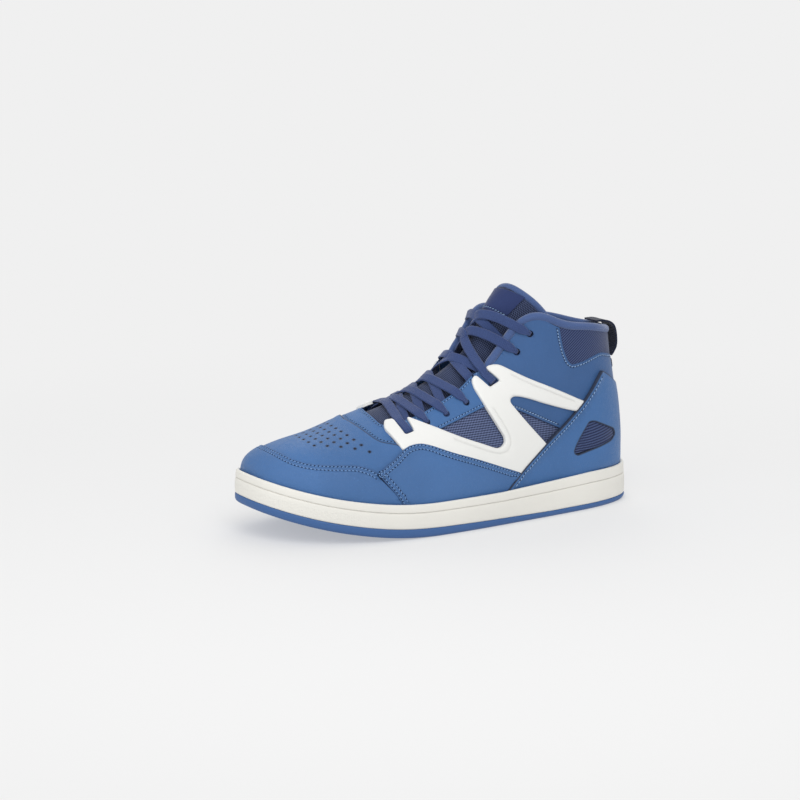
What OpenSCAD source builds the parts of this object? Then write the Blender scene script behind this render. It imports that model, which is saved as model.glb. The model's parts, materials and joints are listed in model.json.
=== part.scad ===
// Basketball high top, left shoe, as an assembly of separate pieces.
// Millimetres. +X to the toe, +Y to the outer (lateral) side, +Z up.
// Origin: on the ground, under the middle of the shoe's length.

/* [Size] */
// Overall size factor on every dimension
size_factor = 1; // [0.8:0.01:1.2]
// Sole length at size factor 1
sole_length = 304; // [280:1:330]

/* [Sole] */
// Outsole thickness under the heel
outsole_heel = 4.3; // [3:0.1:8]
// Outsole thickness under the toe
outsole_toe = 6.5; // [3:0.1:9]
// Cup wall top at the heel
wall_heel = 27.5; // [18:0.1:36]
// Cup wall top at the toe, before toe spring
wall_toe = 23.3; // [12:0.1:30]
// Cup wall thickness
wall_t = 3.6; // [3:0.1:6]
// Toe spring at the tip
toe_spring = 20; // [0:0.5:30]
// Where the sole starts to rise
spring_start = 183; // [150:1:220]
// Depth of the line round the cup wall
groove_depth = 0.7; // [0.3:0.1:1.5]
// Strobel board thickness
strobel_t = 1.4; // [1:0.1:2]
// Sockliner thickness
sock_t = 4.4; // [3:0.1:6]

/* [Upper] */
// Thickness of the mesh base layer
mesh_t = 0.8; // [0.6:0.1:1.2]
// Thickness of a leather panel
panel_t = 1.0; // [0.8:0.1:1.4]
// Top face of the moulded cage above the last surface
cage_top = 1.3; // [0.8:0.1:2]
// Top face of the stitched overlays above the last surface
overlay_top = 0.8; // [0.4:0.1:1.4]
// Gap kept between neighbouring pieces
gap = 0.4; // [0.3:0.1:0.8]
// Depth of the collar padding
collar_pad = 5.6; // [4:0.1:8]
// Radius of the rolled collar edge
roll_r = 3.1; // [2.5:0.1:4]

/* [Lacing] */
// Eyelet hole diameter
eyelet_d = 4.6; // [3.5:0.1:6]
// Lace width
lace_w = 7.4; // [6:0.1:9]
// Lace thickness
lace_t = 1.3; // [1:0.1:2]
// Vamp perforation diameter
perf_d = 1.7; // [1:0.1:2.5]

/* [Tongue] */
// Tongue padding thickness
tongue_t = 6; // [4:0.5:9]
// Radius of the tongue's rolled edge
tongue_roll = 2.6; // [2:0.1:4]

/* [Hidden] */
mid = 150;
NS = 16;

blue = [0.20, 0.34, 0.58];
sky = [0.25, 0.41, 0.66];
navy = [0.13, 0.18, 0.34];
white = [0.88, 0.88, 0.86];
grey = [0.6, 0.62, 0.66];

// ---- curve through points -------------------------------------------------
function pt(k, i) = i < 0 ? 2 * k[0] - k[1] : i >= len(k) ? 2 * k[len(k) - 1] - k[len(k) - 2] : k[i];
function cr4(a, b, c, d, t) = 0.5 * ((2 * b) + (c - a) * t + (2 * a - 5 * b + 4 * c - d) * t * t
    + (3 * b - a - 3 * c + d) * t * t * t);
function crv(k, u) = let(v = min(max(u, 0), len(k) - 1), i = min(floor(v), len(k) - 2))
    cr4(pt(k, i - 1), pt(k, i), pt(k, i + 1), pt(k, i + 2), v - i);
function crc(k, u) = let(n = len(k), i = floor(u))
    cr4(k[(i + n - 1) % n], k[i % n], k[(i + 1) % n], k[(i + 2) % n], u - i);
function unit(v) = v / max(norm(v), 1e-9);
function mixn(a, b, t) = a + (b - a) * t;
function ramp(x, a, b) = let(t = min(max((x - a) / (b - a), 0), 1)) t * t * (3 - 2 * t);

// ---- the last: section keys ------------------------------------------------
// low point x z, ridge x z, half widths out/in, widths at the low edge out/in,
// where the section is widest, roundness over the top, ridge offset in y
KEYS = [
    [299.5, 31, 299, 48, -18, -18, -18, -18, .30, 2.3, -18],
    [296, 30.5, 295.5, 54, 4, -33, 3, -32, .30, 2.3, -16],
    [287, 29, 286, 60, 19, -41, 18, -40, .30, 2.3, -13.5],
    [271, 25, 270, 65, 32.5, -47, 32, -46, .27, 2.3, -11],
    [249, 20, 249, 69.5, 42, -50, 41.5, -49, .25, 2.3, -9],
    [224, 16, 224, 75, 47.5, -49.5, 47, -49, .22, 2.2, -7],
    [197, 15, 199, 83, 49.5, -45, 49, -44, .20, 2.1, -5],
    [165, 15, 177, 93, 48, -38.5, 47.5, -37, .18, 2.0, -4],
    [125, 15, 160, 104, 43.5, -33.5, 42.5, -31.5, .20, 2.0, -3],
    [85, 15, 147, 115, 39, -33, 38, -31, .22, 2.0, -2],
    [45, 15, 137, 126, 36, -33, 32.5, -30.5, .25, 2.0, -1],
    [16, 15, 130, 137, 35, -34, 18, -18, .30, 2.0, 0],
    [5.5, 38, 125, 147, 35.5, -35, 0, 0, .38, 2.0, 0],
    [7.5, 66, 121, 157, 36, -36, 0, 0, .42, 2.1, 0],
    [12.5, 94, 118, 166, 37, -37, 0, 0, .45, 2.2, 0],
    [17, 120, 115, 175, 38.5, -38.5, 0, 0, .47, 2.3, 0],
    [17, 148, 112, 184, 39.5, -39.5, 0, 0, .48, 2.4, 0]];
// the inner side of the throat and collar stands further forward and higher than the outer side:
// shift in x, y and z at each section, in full at the inner edge of the throat
LEAN = [[0, 0, 0], [0, 0, 0], [0, 0, 0], [0, 0, 0], [0, 0, .5], [-1, .5, 4.5], [-4, 2, 6.5], [-2, .5, 5.5], [2, -1.5, 5],
    [6.5, -3.5, 5], [9.5, -4.5, 4], [10.5, -5, 3], [10, -4.5, 1.5], [9, -4, .5], [7.5, -4, -1], [6, -4, -2], [6, -4, -2]];
// tongue centre line, one point for each section from the throat up
TONGUE = [[247, 66], [224, 71], [199, 79], [178, 88], [159, 96.5], [143, 104], [130, 113.5],
          [121.5, 124.5], [117, 135], [111, 146], [105, 155.5], [99, 163.5], [93, 171]];

function key(s) = crv(KEYS, s);
// angle coordinate a: 0 ridge, 1 widest, 2 low edge; the sign picks the side
function lam(a, l0) = let(q = abs(a)) q <= 1 ? l0 + (1 - l0) * cos(90 * q) : l0 * (1 - sin(90 * (q - 1)));
function yy(a, w, b, yt, p) = let(q = abs(a)) q <= 1 ?
    yt + (w - yt) * sqrt(max(0, 1 - pow(cos(90 * q), p))) : b + (w - b) * cos(90 * (q - 1));
function lean(s, p, l) = p + crv(LEAN, s) * (ramp(-p[1], -25, 25) * ramp(l, .35, .8));
function wrapa(a) = a > 2 ? a - 4 : a < -2 ? a + 4 : a;
function last(s, a0) = let(a = wrapa(a0), k = key(s), l = lam(a, k[8]), w = a >= 0 ? k[4] : k[5], b = a >= 0 ? k[6] : k[7])
    lean(s, [k[0] + (k[2] - k[0]) * l, yy(a, w, b, k[10], k[9]), k[1] + (k[3] - k[1]) * l], l);
function face(s, a0) = let(a1 = wrapa(a0), a = s < 11.4 ? min(max(a1, -1.7), 1.7) : a1, e = 0.04,
    s1 = min(s + e, NS), s2 = max(s - e, 0),
    ds = last(s1, a) - last(s2, a), da = last(s, a + e) - last(s, a - e), n = unit(cross(da, ds)))
    s < 0.05 ? unit([1, 0, 0.1]) : unit(n + [max(0, 0.8 - s) * 0.8, 0, 0]);
function at(s, a, o) = last(s, a) + o * face(s, a);
// angle coordinate for a share l of the way from the low edge to the ridge
function ang(s, l) = let(l0 = key(s)[8]) l >= l0 ? acos(min(1, (l - l0) / (1 - l0))) / 90 : 1 + asin((l0 - l) / l0) / 90;

// ---- closed shell between two offsets over a patch --------------------------
module shell(ss, aa, oi, oo) {
    m = len(aa);
    n = len(ss);
    pts = concat([for (s = ss) for (a = aa) at(s, a, oi(s))], [for (s = ss) for (a = aa) at(s, a, oo(s))]);
    k = n * m;
    faces = concat(
        [for (i = [0:n - 2]) for (j = [0:m - 2]) for (f = [[i * m + j, i * m + j + 1, (i + 1) * m + j + 1],
            [i * m + j, (i + 1) * m + j + 1, (i + 1) * m + j]]) f],
        [for (i = [0:n - 2]) for (j = [0:m - 2]) for (f = [[k + i * m + j, k + (i + 1) * m + j + 1, k + i * m + j + 1],
            [k + i * m + j, k + (i + 1) * m + j, k + (i + 1) * m + j + 1]]) f],
        [for (i = [0:n - 2]) for (f = [[i * m, (i + 1) * m, k + i * m], [(i + 1) * m, k + (i + 1) * m, k + i * m]]) f],
        [for (i = [0:n - 2]) for (f = [[i * m + m - 1, k + i * m + m - 1, (i + 1) * m + m - 1],
            [(i + 1) * m + m - 1, k + i * m + m - 1, k + (i + 1) * m + m - 1]]) f],
        [for (j = [0:m - 2]) for (f = [[j, k + j, j + 1], [j + 1, k + j, k + j + 1]]) f],
        [for (j = [0:m - 2]) for (f = [[(n - 1) * m + j, (n - 1) * m + j + 1, k + (n - 1) * m + j],
            [(n - 1) * m + j + 1, k + (n - 1) * m + j + 1, k + (n - 1) * m + j]]) f]);
    polyhedron(points = pts, faces = faces, convexity = 8);
}
function steps(a, b, d) = let(n = max(1, round(abs(b - a) / d))) [for (i = [0:n]) a + (b - a) * i / n];

// ---- sole outline -----------------------------------------------------------
SOLE = [[0, 0], [5, 16], [18, 28.5], [42, 37.5], [75, 43], [115, 48], [155, 52.5], [190, 54.5], [218, 53.5],
        [243, 48.5], [267, 40], [287, 26], [299, 9], [304, -9], [303.5, -26], [294, -42], [272, -51], [245, -54.5],
        [220, -54.5], [190, -49], [155, -41], [115, -36.5], [75, -37], [42, -36.5], [18, -28.5], [5, -16]];
SUB = 3;
NR = len(SOLE) * SUB;
function spring(x) = toe_spring * pow(min(max((x - spring_start) / (300 - spring_start), 0), 1.05), 1.9);
function look(x, xs, ys) = lookup(x, [for (i = [0:len(xs) - 1]) [xs[i], ys[i]]]);
function outsole_h(x) = look(x, [0, 90, 190, 300], [outsole_heel, outsole_heel, outsole_toe, outsole_toe]);
function wall_h(x) = look(x, [0, 50, 130, 300], [wall_heel, wall_heel, wall_toe + .5, wall_toe]);
function rim(i, d) = let(u = i / SUB, p = crc(SOLE, u + 0), q = crc(SOLE, (u + .1) % len(SOLE)),
    r = crc(SOLE, (u - .1 + len(SOLE)) % len(SOLE)), t = unit(q - r)) [p[0] - t[1] * d * -1, p[1] + t[0] * d * -1];
function ring(d) = [for (i = [0:NR - 1]) rim(i, d)];
// solid between rings r[k] = [inset, base height function index, extra]
function lift(p, z) = [p[0], p[1], z];
module loft(rings) {
    n = len(rings[0]);
    m = len(rings);
    h = n / 2;
    side = [for (k = [0:m - 2]) for (i = [0:n - 1]) let(j = (i + 1) % n)
        for (f = [[k * n + i, k * n + j, (k + 1) * n + j], [k * n + i, (k + 1) * n + j, (k + 1) * n + i]]) f];
    low = [for (i = [0:h - 1]) let(a = i, b = i + 1, c = (n - i - 1) % n, d = (n - i) % n)
        for (f = (i == 0 ? [[a, c, b]] : i == h - 1 ? [[a, d, b]] : [[a, c, b], [a, d, c]])) f];
    o = (m - 1) * n;
    high = [for (f = low) [o + f[2], o + f[1], o + f[0]]];
    polyhedron(points = [for (r = rings) for (p = r) p], faces = concat(side, low, high), convexity = 6);
}
module hoop(rings) {
    n = len(rings[0]);
    m = len(rings);
    side = [for (k = [0:m - 1]) for (i = [0:n - 1]) let(j = (i + 1) % n, l = (k + 1) % m)
        for (f = [[k * n + i, k * n + j, l * n + j], [k * n + i, l * n + j, l * n + i]]) f];
    polyhedron(points = [for (r = rings) for (p = r) p], faces = side, convexity = 8);
}
function level(d, f, z) = [for (p = ring(d)) lift(p, z + spring(p[0]) + (f == 1 ? outsole_h(p[0]) : f == 2 ? wall_h(p[0]) :
    f == 3 ? mixn(outsole_h(p[0]), wall_h(p[0]), .66) : 0))];
// inner plan: ring shrunk towards a centre line
function inner(kx, ky) = [for (p = ring(0)) [156 + (p[0] - 152) * kx, p[1] * ky]];
function lay(r, z) = [for (p = r) lift(p, z + spring(p[0]))];

// ---- cutters ----------------------------------------------------------------
// section number for a side-view point: where the point meets the section line
function off_line(s, x, z) = let(k = key(s)) (k[2] - k[0]) * (z - k[1]) - (k[3] - k[1]) * (x - k[0]);
function find_s(x, z, lo, hi, n = 18) = n == 0 ? (lo + hi) / 2 : let(h = (lo + hi) / 2)
    off_line(h, x, z) > 0 ? find_s(x, z, h, hi, n - 1) : find_s(x, z, lo, h, n - 1);
function share(s, x, z) = let(k = key(s), d = [k[2] - k[0], k[3] - k[1]]) ([x - k[0], z - k[1]] * d) / (d * d);
// a side-view outline as it lies on the inner side, or unchanged on the outer side
function shifted(q) = let(s = find_s(q[0], q[1], 0, 16), l = min(max(share(s, q[0], q[1]), 0), 1),
    d = crv(LEAN, s) * ramp(l, .35, .8)) [q[0] + d[0], q[1] + d[2]];
function line_on(m, p) = m > 0 ? p : [for (q = p) shifted(q)];
module side_cut(p) {
    rotate([90, 0, 0])
        translate([0, 0, -90])
            linear_extrude(height = 180, convexity = 6)
                polygon(p);
}
module one_side(m) {
    translate([-50, m > 0 ? 0 : -100, 0])
        cube([400, 100, 260]);
}
module both_cut(p) {
    for (m = [1, -1])
        intersection() {
            side_cut(line_on(m, p));
            one_side(m);
        }
}
module clear_of_cup() {
    // inside the cup wall low down, anywhere above its top edge
    difference() {
        union() {
            translate([0, 0, 2])
                linear_extrude(height = 70, convexity = 4)
                    polygon(ring(wall_t + gap + .3));
            side_cut(concat([for (x = [-20:12:340]) [x, wall_h(x) + spring(x) + .5]], [[340, 260], [-20, 260]]));
        }
        loft([lay(ring(-8), -30), lay(ring(-8), 12.6 + strobel_t + gap)]);
        loft([lay(inner(.925, .765), 8), lay(inner(.925, .765), 14.6 + sock_t + gap)]);
    }
}
module inset_cut(p, d) {
    rotate([90, 0, 0])
        translate([0, 0, -90])
            linear_extrude(height = 180, convexity = 6)
                offset(delta = -d)
                    polygon(p);
}

// ---- side-view outlines of the panels ----------------------------------------
diag = [[128, 20], [112, 35], [89, 52], [72, 64], [63, 72], [55, 81], [43, 98]];
heel_out = concat(diag, [[41, 100.5], [38, 101], [28, 95], [18, 88.5], [6, 83], [-15, 82], [-15, 5], [128, 5]]);
heel_win = [[50, 64.5], [46, 64.5], [26, 56], [23.5, 52], [27, 48.5], [44, 44.5], [60, 41], [63.5, 43], [61, 48]];
quarter_top = [[206, 60], [200, 62.5], [192, 63.3], [185, 61.5], [171, 56], [147, 48], [129, 41], [113, 35]];
quarter_out = concat([[209, 5], [211, 24], [216, 32], [222, 39], [228, 47], [220, 51.5], [213, 56]], quarter_top, [[128, 20], [128, 5]]);
cage_out = concat([[141, 101], [141, 95.5], [135, 82], [128, 69], [123.5, 61], [123.5, 57.5], [126, 55], [130, 54],
    [134, 55], [144, 59], [155, 63], [165, 67.2], [175, 71.7], [185, 76], [193.5, 79.5], [193, 71], [200, 69], [202, 77.5],
    [208, 76], [211, 73]], quarter_top, [[112, 35], [87.5, 53], [95, 60], [104, 70], [112, 80], [115, 84], [114.5, 86.5],
    [111, 88], [106, 87.3], [98, 85], [86, 80.5], [72, 76], [61.5, 73.5], [56, 81], [76, 90], [85, 94], [97, 99],
    [108, 104.5], [118, 110], [122, 110.7], [130, 109], [120, 99.5], [129, 95.5], [137, 104]]);
throat = [[224, 74.5], [212, 75.6], [200, 78.6], [188, 82.8], [172, 89], [157, 96.6], [147, 103.5], [140.5, 108]];
eyestay_out = concat([[211.3, 76.5], [210.6, 66.2], [203.6, 61.6], [190, 66.5], [174, 71.5], [137, 82.5], [131, 84]],
    [[138, 104]], [for (i = [7:-1:2]) throat[i]], [[211.2, 75.7]]);
top_line = [[110.5, 136], [107, 141], [102.5, 145], [97, 147.4], [90, 147.6], [84, 145.5], [77, 141.5], [70, 139.3], [62, 138.3],
            [52, 137.6], [42, 136], [32, 133.5], [22, 131.3], [10, 130.5], [-10, 130]];
EDGE = concat([[124.5, 116.5], [120.5, 121], [116.5, 127]], top_line);
ankle_out = concat([[139.6, 112], [137, 104], [129.5, 84], [124, 83], [110, 78.7], [77, 63], [40, 45], [-15, 45]],
    [[-15, 108.5], [18, 109], [30, 112.5], [39, 114.8], [48, 112.6], [57, 109.4], [65, 107.8], [68, 109.8], [72, 118],
    [75, 129], [78, 150], [112, 150], [119, 126], [125, 115]]);
mesh_out = [[222, 15], [222, 70], [206, 64], [190, 70], [137, 86], [100, 84], [66, 67], [66, 15]];
collar_mesh_out = [[-15, 109.5], [18, 110], [30, 113.6], [39, 115.9], [48, 113.7], [57, 110.5], [64.6, 108.8], [67, 110.6],
                   [71, 118.4], [74, 129], [77, 150], [-15, 150]];
// everything lower than the rolled edge by d
module under_roll(d) {
    for (m = [1, -1])
        difference() {
            one_side(m);
            rotate([90, 0, 0])
                translate([0, 0, -110])
                    linear_extrude(height = 220, convexity = 6)
                        offset(delta = m > 0 ? d : d + .8)
                            polygon(line_on(m, concat(EDGE, [[-10, 190], [170, 190], [150, 125], [135, 118]])));
        }
}

// ---- a panel on one side of the shoe ------------------------------------------
module panel(m, p, oi, oo, s0, s1, a0, a1, ds = .5, da = .125) {
    resize([0, 0, 0])
        intersection() {
            shell(steps(s0, s1, ds), m > 0 ? steps(a0, a1, da) : steps(-a1, -a0, da), function(s) oi, function(s) oo);
            side_cut(line_on(m, p));
            clear_of_cup();
            if ($children > 0) children();
            else one_side(m);
        }
}
module point_to(n) {
    rotate([0, acos(n[2]), atan2(n[1], n[0])])
        children();
}
// lace holes as section number and height share; entries 0 and 4 are the slots
HOLES = [[6.05, .87], [6.72, .82], [7.4, .80], [8.2, .79], [9.45, .79], [11.4, .81], [12.6, .78]];
module eyelets(m, list) {
    for (i = list) {
        s = HOLES[i][0];
        a = m * ang(s, HOLES[i][1]);
        translate(last(s, a))
            point_to(face(s, a))
                cylinder(d = eyelet_d, h = 14, center = true, $fn = 10);
    }
}

// ---- sole ---------------------------------------------------------------------
module outsole() {
    color(blue)
        loft([level(2.2, 0, 0), level(.3, 0, 1.4), level(0, 1, -.8), level(.3, 1, 0)]);
}
module cup_wall() {
    color(white)
        hoop([level(.4, 1, gap), level(0, 1, 2), level(.7, 3, -.7), level(.7 + groove_depth, 3, 0),
              level(.7, 3, .7), level(1.1, 2, -1), level(1.9, 2, 0), level(wall_t, 2, -.6), level(wall_t, 1, gap)]);
}
module foam_midsole() {
    color(grey)
        loft([level(wall_t + gap, 1, gap), lay(ring(wall_t + gap), 12.2)]);
}
module strobel_board() {
    color(white)
        loft([lay(ring(wall_t + 1.2), 12.6), lay(ring(wall_t + 1.2), 12.6 + strobel_t)]);
}
module sockliner() {
    color(navy)
        loft([lay(inner(.878, .69), 14.6), lay(inner(.874, .68), 14.6 + sock_t - .8), lay(inner(.862, .665), 14.6 + sock_t)]);
}

// ---- upper base ------------------------------------------------------------------
module toe_puff() {
    color(grey)
        resize([0, 0, 0])
            intersection() {
                shell(concat([.08, .25], steps(.5, 4.5, .5)), steps(-1.75, 1.75, .25), function(s) -3.9, function(s) -3.2);
                side_cut([[255, 24], [262, 50], [268, 66], [300, 66], [310, 24]]);
                clear_of_cup();
            }
}
module vamp() {
    color(sky)
        resize([0, 0, 0])
            difference() {
                intersection() {
                    shell(concat([.08, .25], steps(.5, 6.5, .5)), steps(-1.875, 1.875, .125), function(s) -1.9, function(s) -.9);
                    both_cut([[226.8, 90], [226.8, 77.2], [221.5, 72.8], [218.5, 68.6], [212, 65.5], [204, 60.5], [212, 54], [220, 50],
                              [230, 42], [270, 42], [310, 52], [310, 90]]);
                    clear_of_cup();
                }
                perforations();
            }
}
// five staggered rows, nine holes at the back and five at the front
module perforations() {
    for (r = [0:4]) {
        n = 9 - r;
        for (j = [0:n - 1]) {
            y = -7 + (j - (n - 1) / 2) * 7.4;
            x = 235.5 + r * 6.6 - .0065 * pow(y + 7, 2);
            translate([x, y, 40])
                cylinder(d = perf_d, h = 60, $fn = 4);
        }
    }
}
module toe_wrap() {
    color(blue)
        resize([0, 0, 0])
            intersection() {
                shell(concat([.08, .25], steps(.5, 6, .5)), steps(-1.875, 1.875, .125), function(s) -.4, function(s) overlay_top);
                side_cut([[289, 62], [283, 59], [277, 56.5], [270, 54.5], [262, 53.3], [249, 52], [240, 50], [231, 47], [228, 46.3],
                          [223, 38.5], [217, 31.5], [212, 23.5], [210, 5], [320, 5], [320, 62]]);
                clear_of_cup();
            }
}
module throat_strip() {
    color(sky)
        resize([0, 0, 0])
            intersection() {
                shell(steps(4, 6.5, .25), steps(-.875, .875, .125), function(s) -1.9, function(s) -.9);
                both_cut([[226.3, 90], [226.3, 77.6], [221.2, 73.4], [218.1, 69.1], [211.9, 66.2], [212.6, 90]]);
            }
}
module base_mesh(m) {
    color(navy)
        panel(m, mesh_out, -3.1, -3.1 + mesh_t, 5, 12, .25, 1.875);
}
module mesh_lateral() {
    base_mesh(1);
}
module mesh_medial() {
    base_mesh(-1);
}
module eyestay(m) {
    color(sky)
        panel(m, eyestay_out, -1.9, -1.9 + panel_t, 4.5, 10, .125, 1.25)
            difference() {
                under_roll(6.9);
                eyelets(m, [1, 2, 3]);
            }
}
module eyestay_lateral() {
    eyestay(1);
}
module eyestay_medial() {
    eyestay(-1);
}
module ankle(m) {
    color(blue)
        resize([0, 0, 0])
            difference() {
                intersection() {
                    shell(steps(8, 16, .5), m > 0 ? steps(.25, 2, .125) : steps(-2, -.25, .125),
                          function(s) -1.9, function(s) -.9);
                    side_cut(line_on(m, ankle_out));
                    under_roll(6.9);
                    clear_of_cup();
                    translate([-50, m > 0 ? .2 : -100.2, 0])
                        cube([400, 100, 260]);
                }
                eyelets(m, [5, 6]);
                inset_cut(heel_out, 9);
            }
}
module ankle_lateral() {
    ankle(1);
}
module ankle_medial() {
    ankle(-1);
}
module quarter(m) {
    color(blue)
        panel(m, quarter_out, -.4, overlay_top, 4, 9.5, .375, 1.875);
}
module quarter_lateral() {
    quarter(1);
}
module quarter_medial() {
    quarter(-1);
}
module cage(m) {
    color(white)
        resize([0, 0, 0])
            intersection() {
                shell(steps(5, 13.5, .5), m > 0 ? steps(.125, 1.625, .125) : steps(-1.625, -.125, .125),
                      function(s) -.4, function(s) cage_top);
                inset_cut(line_on(m, cage_out), .25);
                clear_of_cup();
            }
}
module cage_lateral() {
    cage(1);
}
module cage_medial() {
    cage(-1);
}
module heel_panel() {
    color(blue)
        resize([0, 0, 0])
            difference() {
                intersection() {
                    shell(steps(8, 15, .5), steps(.875, 3.125, .125), function(s) -.4, function(s) overlay_top + .2);
                    inset_cut(heel_out, .3);
                    clear_of_cup();
                }
                difference() {
                    side_cut(heel_win);
                    translate([-20, -8, 0])
                        cube([60, 16, 100]);
                }
            }
}
module heel_insert(m) {
    color(navy)
        resize([0, 0, 0])
            intersection() {
                shell(steps(9, 14, .5), m > 0 ? steps(.875, 1.96875, .15625) : steps(-1.96875, -.875, .15625),
                      function(s) -1.7, function(s) -.8);
                rotate([90, 0, 0])
                    translate([0, 0, -90])
                        linear_extrude(height = 180)
                            offset(delta = 4)
                                polygon(heel_win);
                one_side(m);
                clear_of_cup();
            }
}
module heel_insert_lateral() {
    heel_insert(1);
}
module heel_insert_medial() {
    heel_insert(-1);
}
module heel_counter() {
    color(grey)
        resize([0, 0, 0])
            intersection() {
                shell(steps(9.5, 14.5, .5), steps(1, 3, .125), function(s) -4, function(s) -2.6);
                side_cut([[60, 15], [56, 34], [46, 52], [34, 66], [20, 74], [-10, 76], [-10, 15]]);
                clear_of_cup();
            }
}
module collar_mesh() {
    color(navy)
        resize([0, 0, 0])
            intersection() {
                shell(steps(11.5, 16, .5), steps(.375, 3.625, .125), function(s) -1.9, function(s) -.9);
                both_cut(collar_mesh_out);
                under_roll(6.9);
            }
}
module collar_foam() {
    color(grey)
        resize([0, 0, 0])
            intersection() {
                shell(concat([10, 10.5], steps(11, 16, 1)), steps(.5, 3.5, .125), function(s) -4.5 - (collar_pad - .9) * ramp(s, 10, 11), function(s) -3.6);
                side_cut([[-20, 86], [40, 86], [92, 96], [100, 112], [98, 160], [-20, 160]]);
                under_roll(7);
            }
}
// ---- rolled collar edge ------------------------------------------------------------
function on_side(x, z, m, o) = let(s = find_s(x, z, 4, 16), l = min(max(share(s, x, z), 0), .995)) at(s, m * ang(s, l), o);
function inward(k, u, d) = let(t = unit(crv(k, u + .1) - crv(k, u - .1)), p = crv(k, u)) [p[0] - t[1] * d, p[1] + t[0] * d];
roll_n = len(EDGE) - 3;
roll_side = [for (i = [0:roll_n]) inward(EDGE, i, roll_r + .2)];
roll_path = concat([for (p = roll_side) on_side(p[0], p[1], 1, -2.7)], [at(15.26, 2, -2.7)],
    [for (i = [roll_n:-1:0]) on_side(roll_side[i][0], roll_side[i][1], -1, -2.7)]);
module tube(path, r, n) {
    m = len(path);
    tan = [for (i = [0:m - 1]) unit(path[min(i + 1, m - 1)] - path[max(i - 1, 0)])];
    u = [for (t = tan) unit(cross(t, abs(t[2]) > .95 ? [1, 0, 0] : [0, 0, 1]))];
    v = [for (i = [0:m - 1]) cross(u[i], tan[i])];
    polyhedron(points = [for (i = [0:m - 1]) for (j = [0:n - 1]) path[i] + r * (cos(360 * j / n) * u[i] + sin(360 * j / n) * v[i])],
        faces = concat([for (i = [0:m - 2]) for (j = [0:n - 1]) let(k = (j + 1) % n)
            for (f = [[i * n + j, i * n + k, (i + 1) * n + k], [i * n + j, (i + 1) * n + k, (i + 1) * n + j]]) f],
            [[for (j = [n - 1:-1:0]) j]], [[for (j = [0:n - 1]) (m - 1) * n + j]]), convexity = 8);
}
module collar_roll() {
    color(sky)
        tube(roll_path, roll_r, 8);
}

// ---- linings ------------------------------------------------------------------------
module lining_front() {
    color(navy)
        resize([0, 0, 0])
            difference() {
                intersection() {
                    shell(concat([0.1], steps(.5, 9.5, .5)), steps(-1.75, 1.75, .25), function(s) -5, function(s) -4.3);
                    clear_of_cup();
                }
                side_cut([[60, 200], [60, 86], [84, 86], [110, 76], [150, 76], [205, 60], [252, 57], [256, 62], [256, 200]]);
            }
}
module lining_collar() {
    color(navy)
        resize([0, 0, 0])
            intersection() {
                shell(concat([9.5, 10, 10.5], steps(11, 16, 1)), steps(.5, 3.5, .1875), function(s) -5.7 - 4.7 * ramp(s, 10, 11),
                      function(s) -5 - 4.7 * ramp(s, 10, 11));
                side_cut([[-20, 15], [60, 15], [60, 86], [83, 86], [99, 97], [106, 112], [104, 132], [99, 160], [-20, 160]]);
                under_roll(2);
                clear_of_cup();
            }
}

// ---- tongue --------------------------------------------------------------------------
function tk(s) = crv(TONGUE, s - 4);
function tongue_pt(s, a) = let(k = key(s), c = tk(s), l = lam(a, k[8]), d = 7 + 5 * ramp(s, 9, 11), w = (a >= 0 ? k[4] - d : k[5] + d + .9))
    lean(s, [k[0] + (c[0] - k[0]) * l, yy(a, w, w, k[10], k[9]), k[1] + (c[1] - k[1]) * l], l);
function tongue_n(s, a) = let(e = .04, d = tongue_pt(s + e, a) - tongue_pt(s - e, a), f = tongue_pt(s, a + e) - tongue_pt(s, a - e))
    unit(cross(f, d));
function tongue_at(s, a, o) = tongue_pt(s, a) + o * tongue_n(s, a);
// half width of the tongue, as angle coordinate, at section s
function tongue_a(s) = look(s, [4.4, 6, 8, 10, 12, 13.4, 14.4, 15], [.24, .36, .40, .46, .60, .70, .66, .4]);
function tongue_s(i, j) = let(u = i / 17, v = j / 5) mixn(4.6, 15 - 1.1 * v * v, u);
module tongue_body() {
    color(navy)
        tongue_pad(-tongue_t + .6, -.4);
}
// padded patch between two offsets, thinner at its sides
module tongue_pad(oi, oo) {
    n = 18;
    m = 11;
    g = [for (i = [0:n - 1]) for (j = [-5:5]) let(s = tongue_s(i, j)) [s, tongue_a(s) * j / 5, 1 - pow(abs(j) / 5, 4) * .6]];
    k = n * m;
    pts = concat([for (q = g) tongue_at(q[0], q[1], mixn(oo, oi, q[2]))], [for (q = g) tongue_at(q[0], q[1], oo)]);
    polyhedron(points = pts, faces = concat(
        [for (i = [0:n - 2]) for (j = [0:m - 2]) for (f = [[i * m + j, i * m + j + 1, (i + 1) * m + j + 1],
            [i * m + j, (i + 1) * m + j + 1, (i + 1) * m + j]]) f],
        [for (i = [0:n - 2]) for (j = [0:m - 2]) for (f = [[k + i * m + j, k + (i + 1) * m + j + 1, k + i * m + j + 1],
            [k + i * m + j, k + (i + 1) * m + j, k + (i + 1) * m + j + 1]]) f],
        [for (i = [0:n - 2]) for (f = [[i * m, (i + 1) * m, k + i * m], [(i + 1) * m, k + (i + 1) * m, k + i * m]]) f],
        [for (i = [0:n - 2]) for (f = [[i * m + m - 1, k + i * m + m - 1, (i + 1) * m + m - 1],
            [(i + 1) * m + m - 1, k + i * m + m - 1, k + (i + 1) * m + m - 1]]) f],
        [for (j = [0:m - 2]) for (f = [[j, k + j, j + 1], [j + 1, k + j, k + j + 1]]) f],
        [for (j = [0:m - 2]) for (f = [[(n - 1) * m + j, (n - 1) * m + j + 1, k + (n - 1) * m + j],
            [(n - 1) * m + j + 1, k + (n - 1) * m + j + 1, k + (n - 1) * m + j]]) f]), convexity = 8);
}
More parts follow.
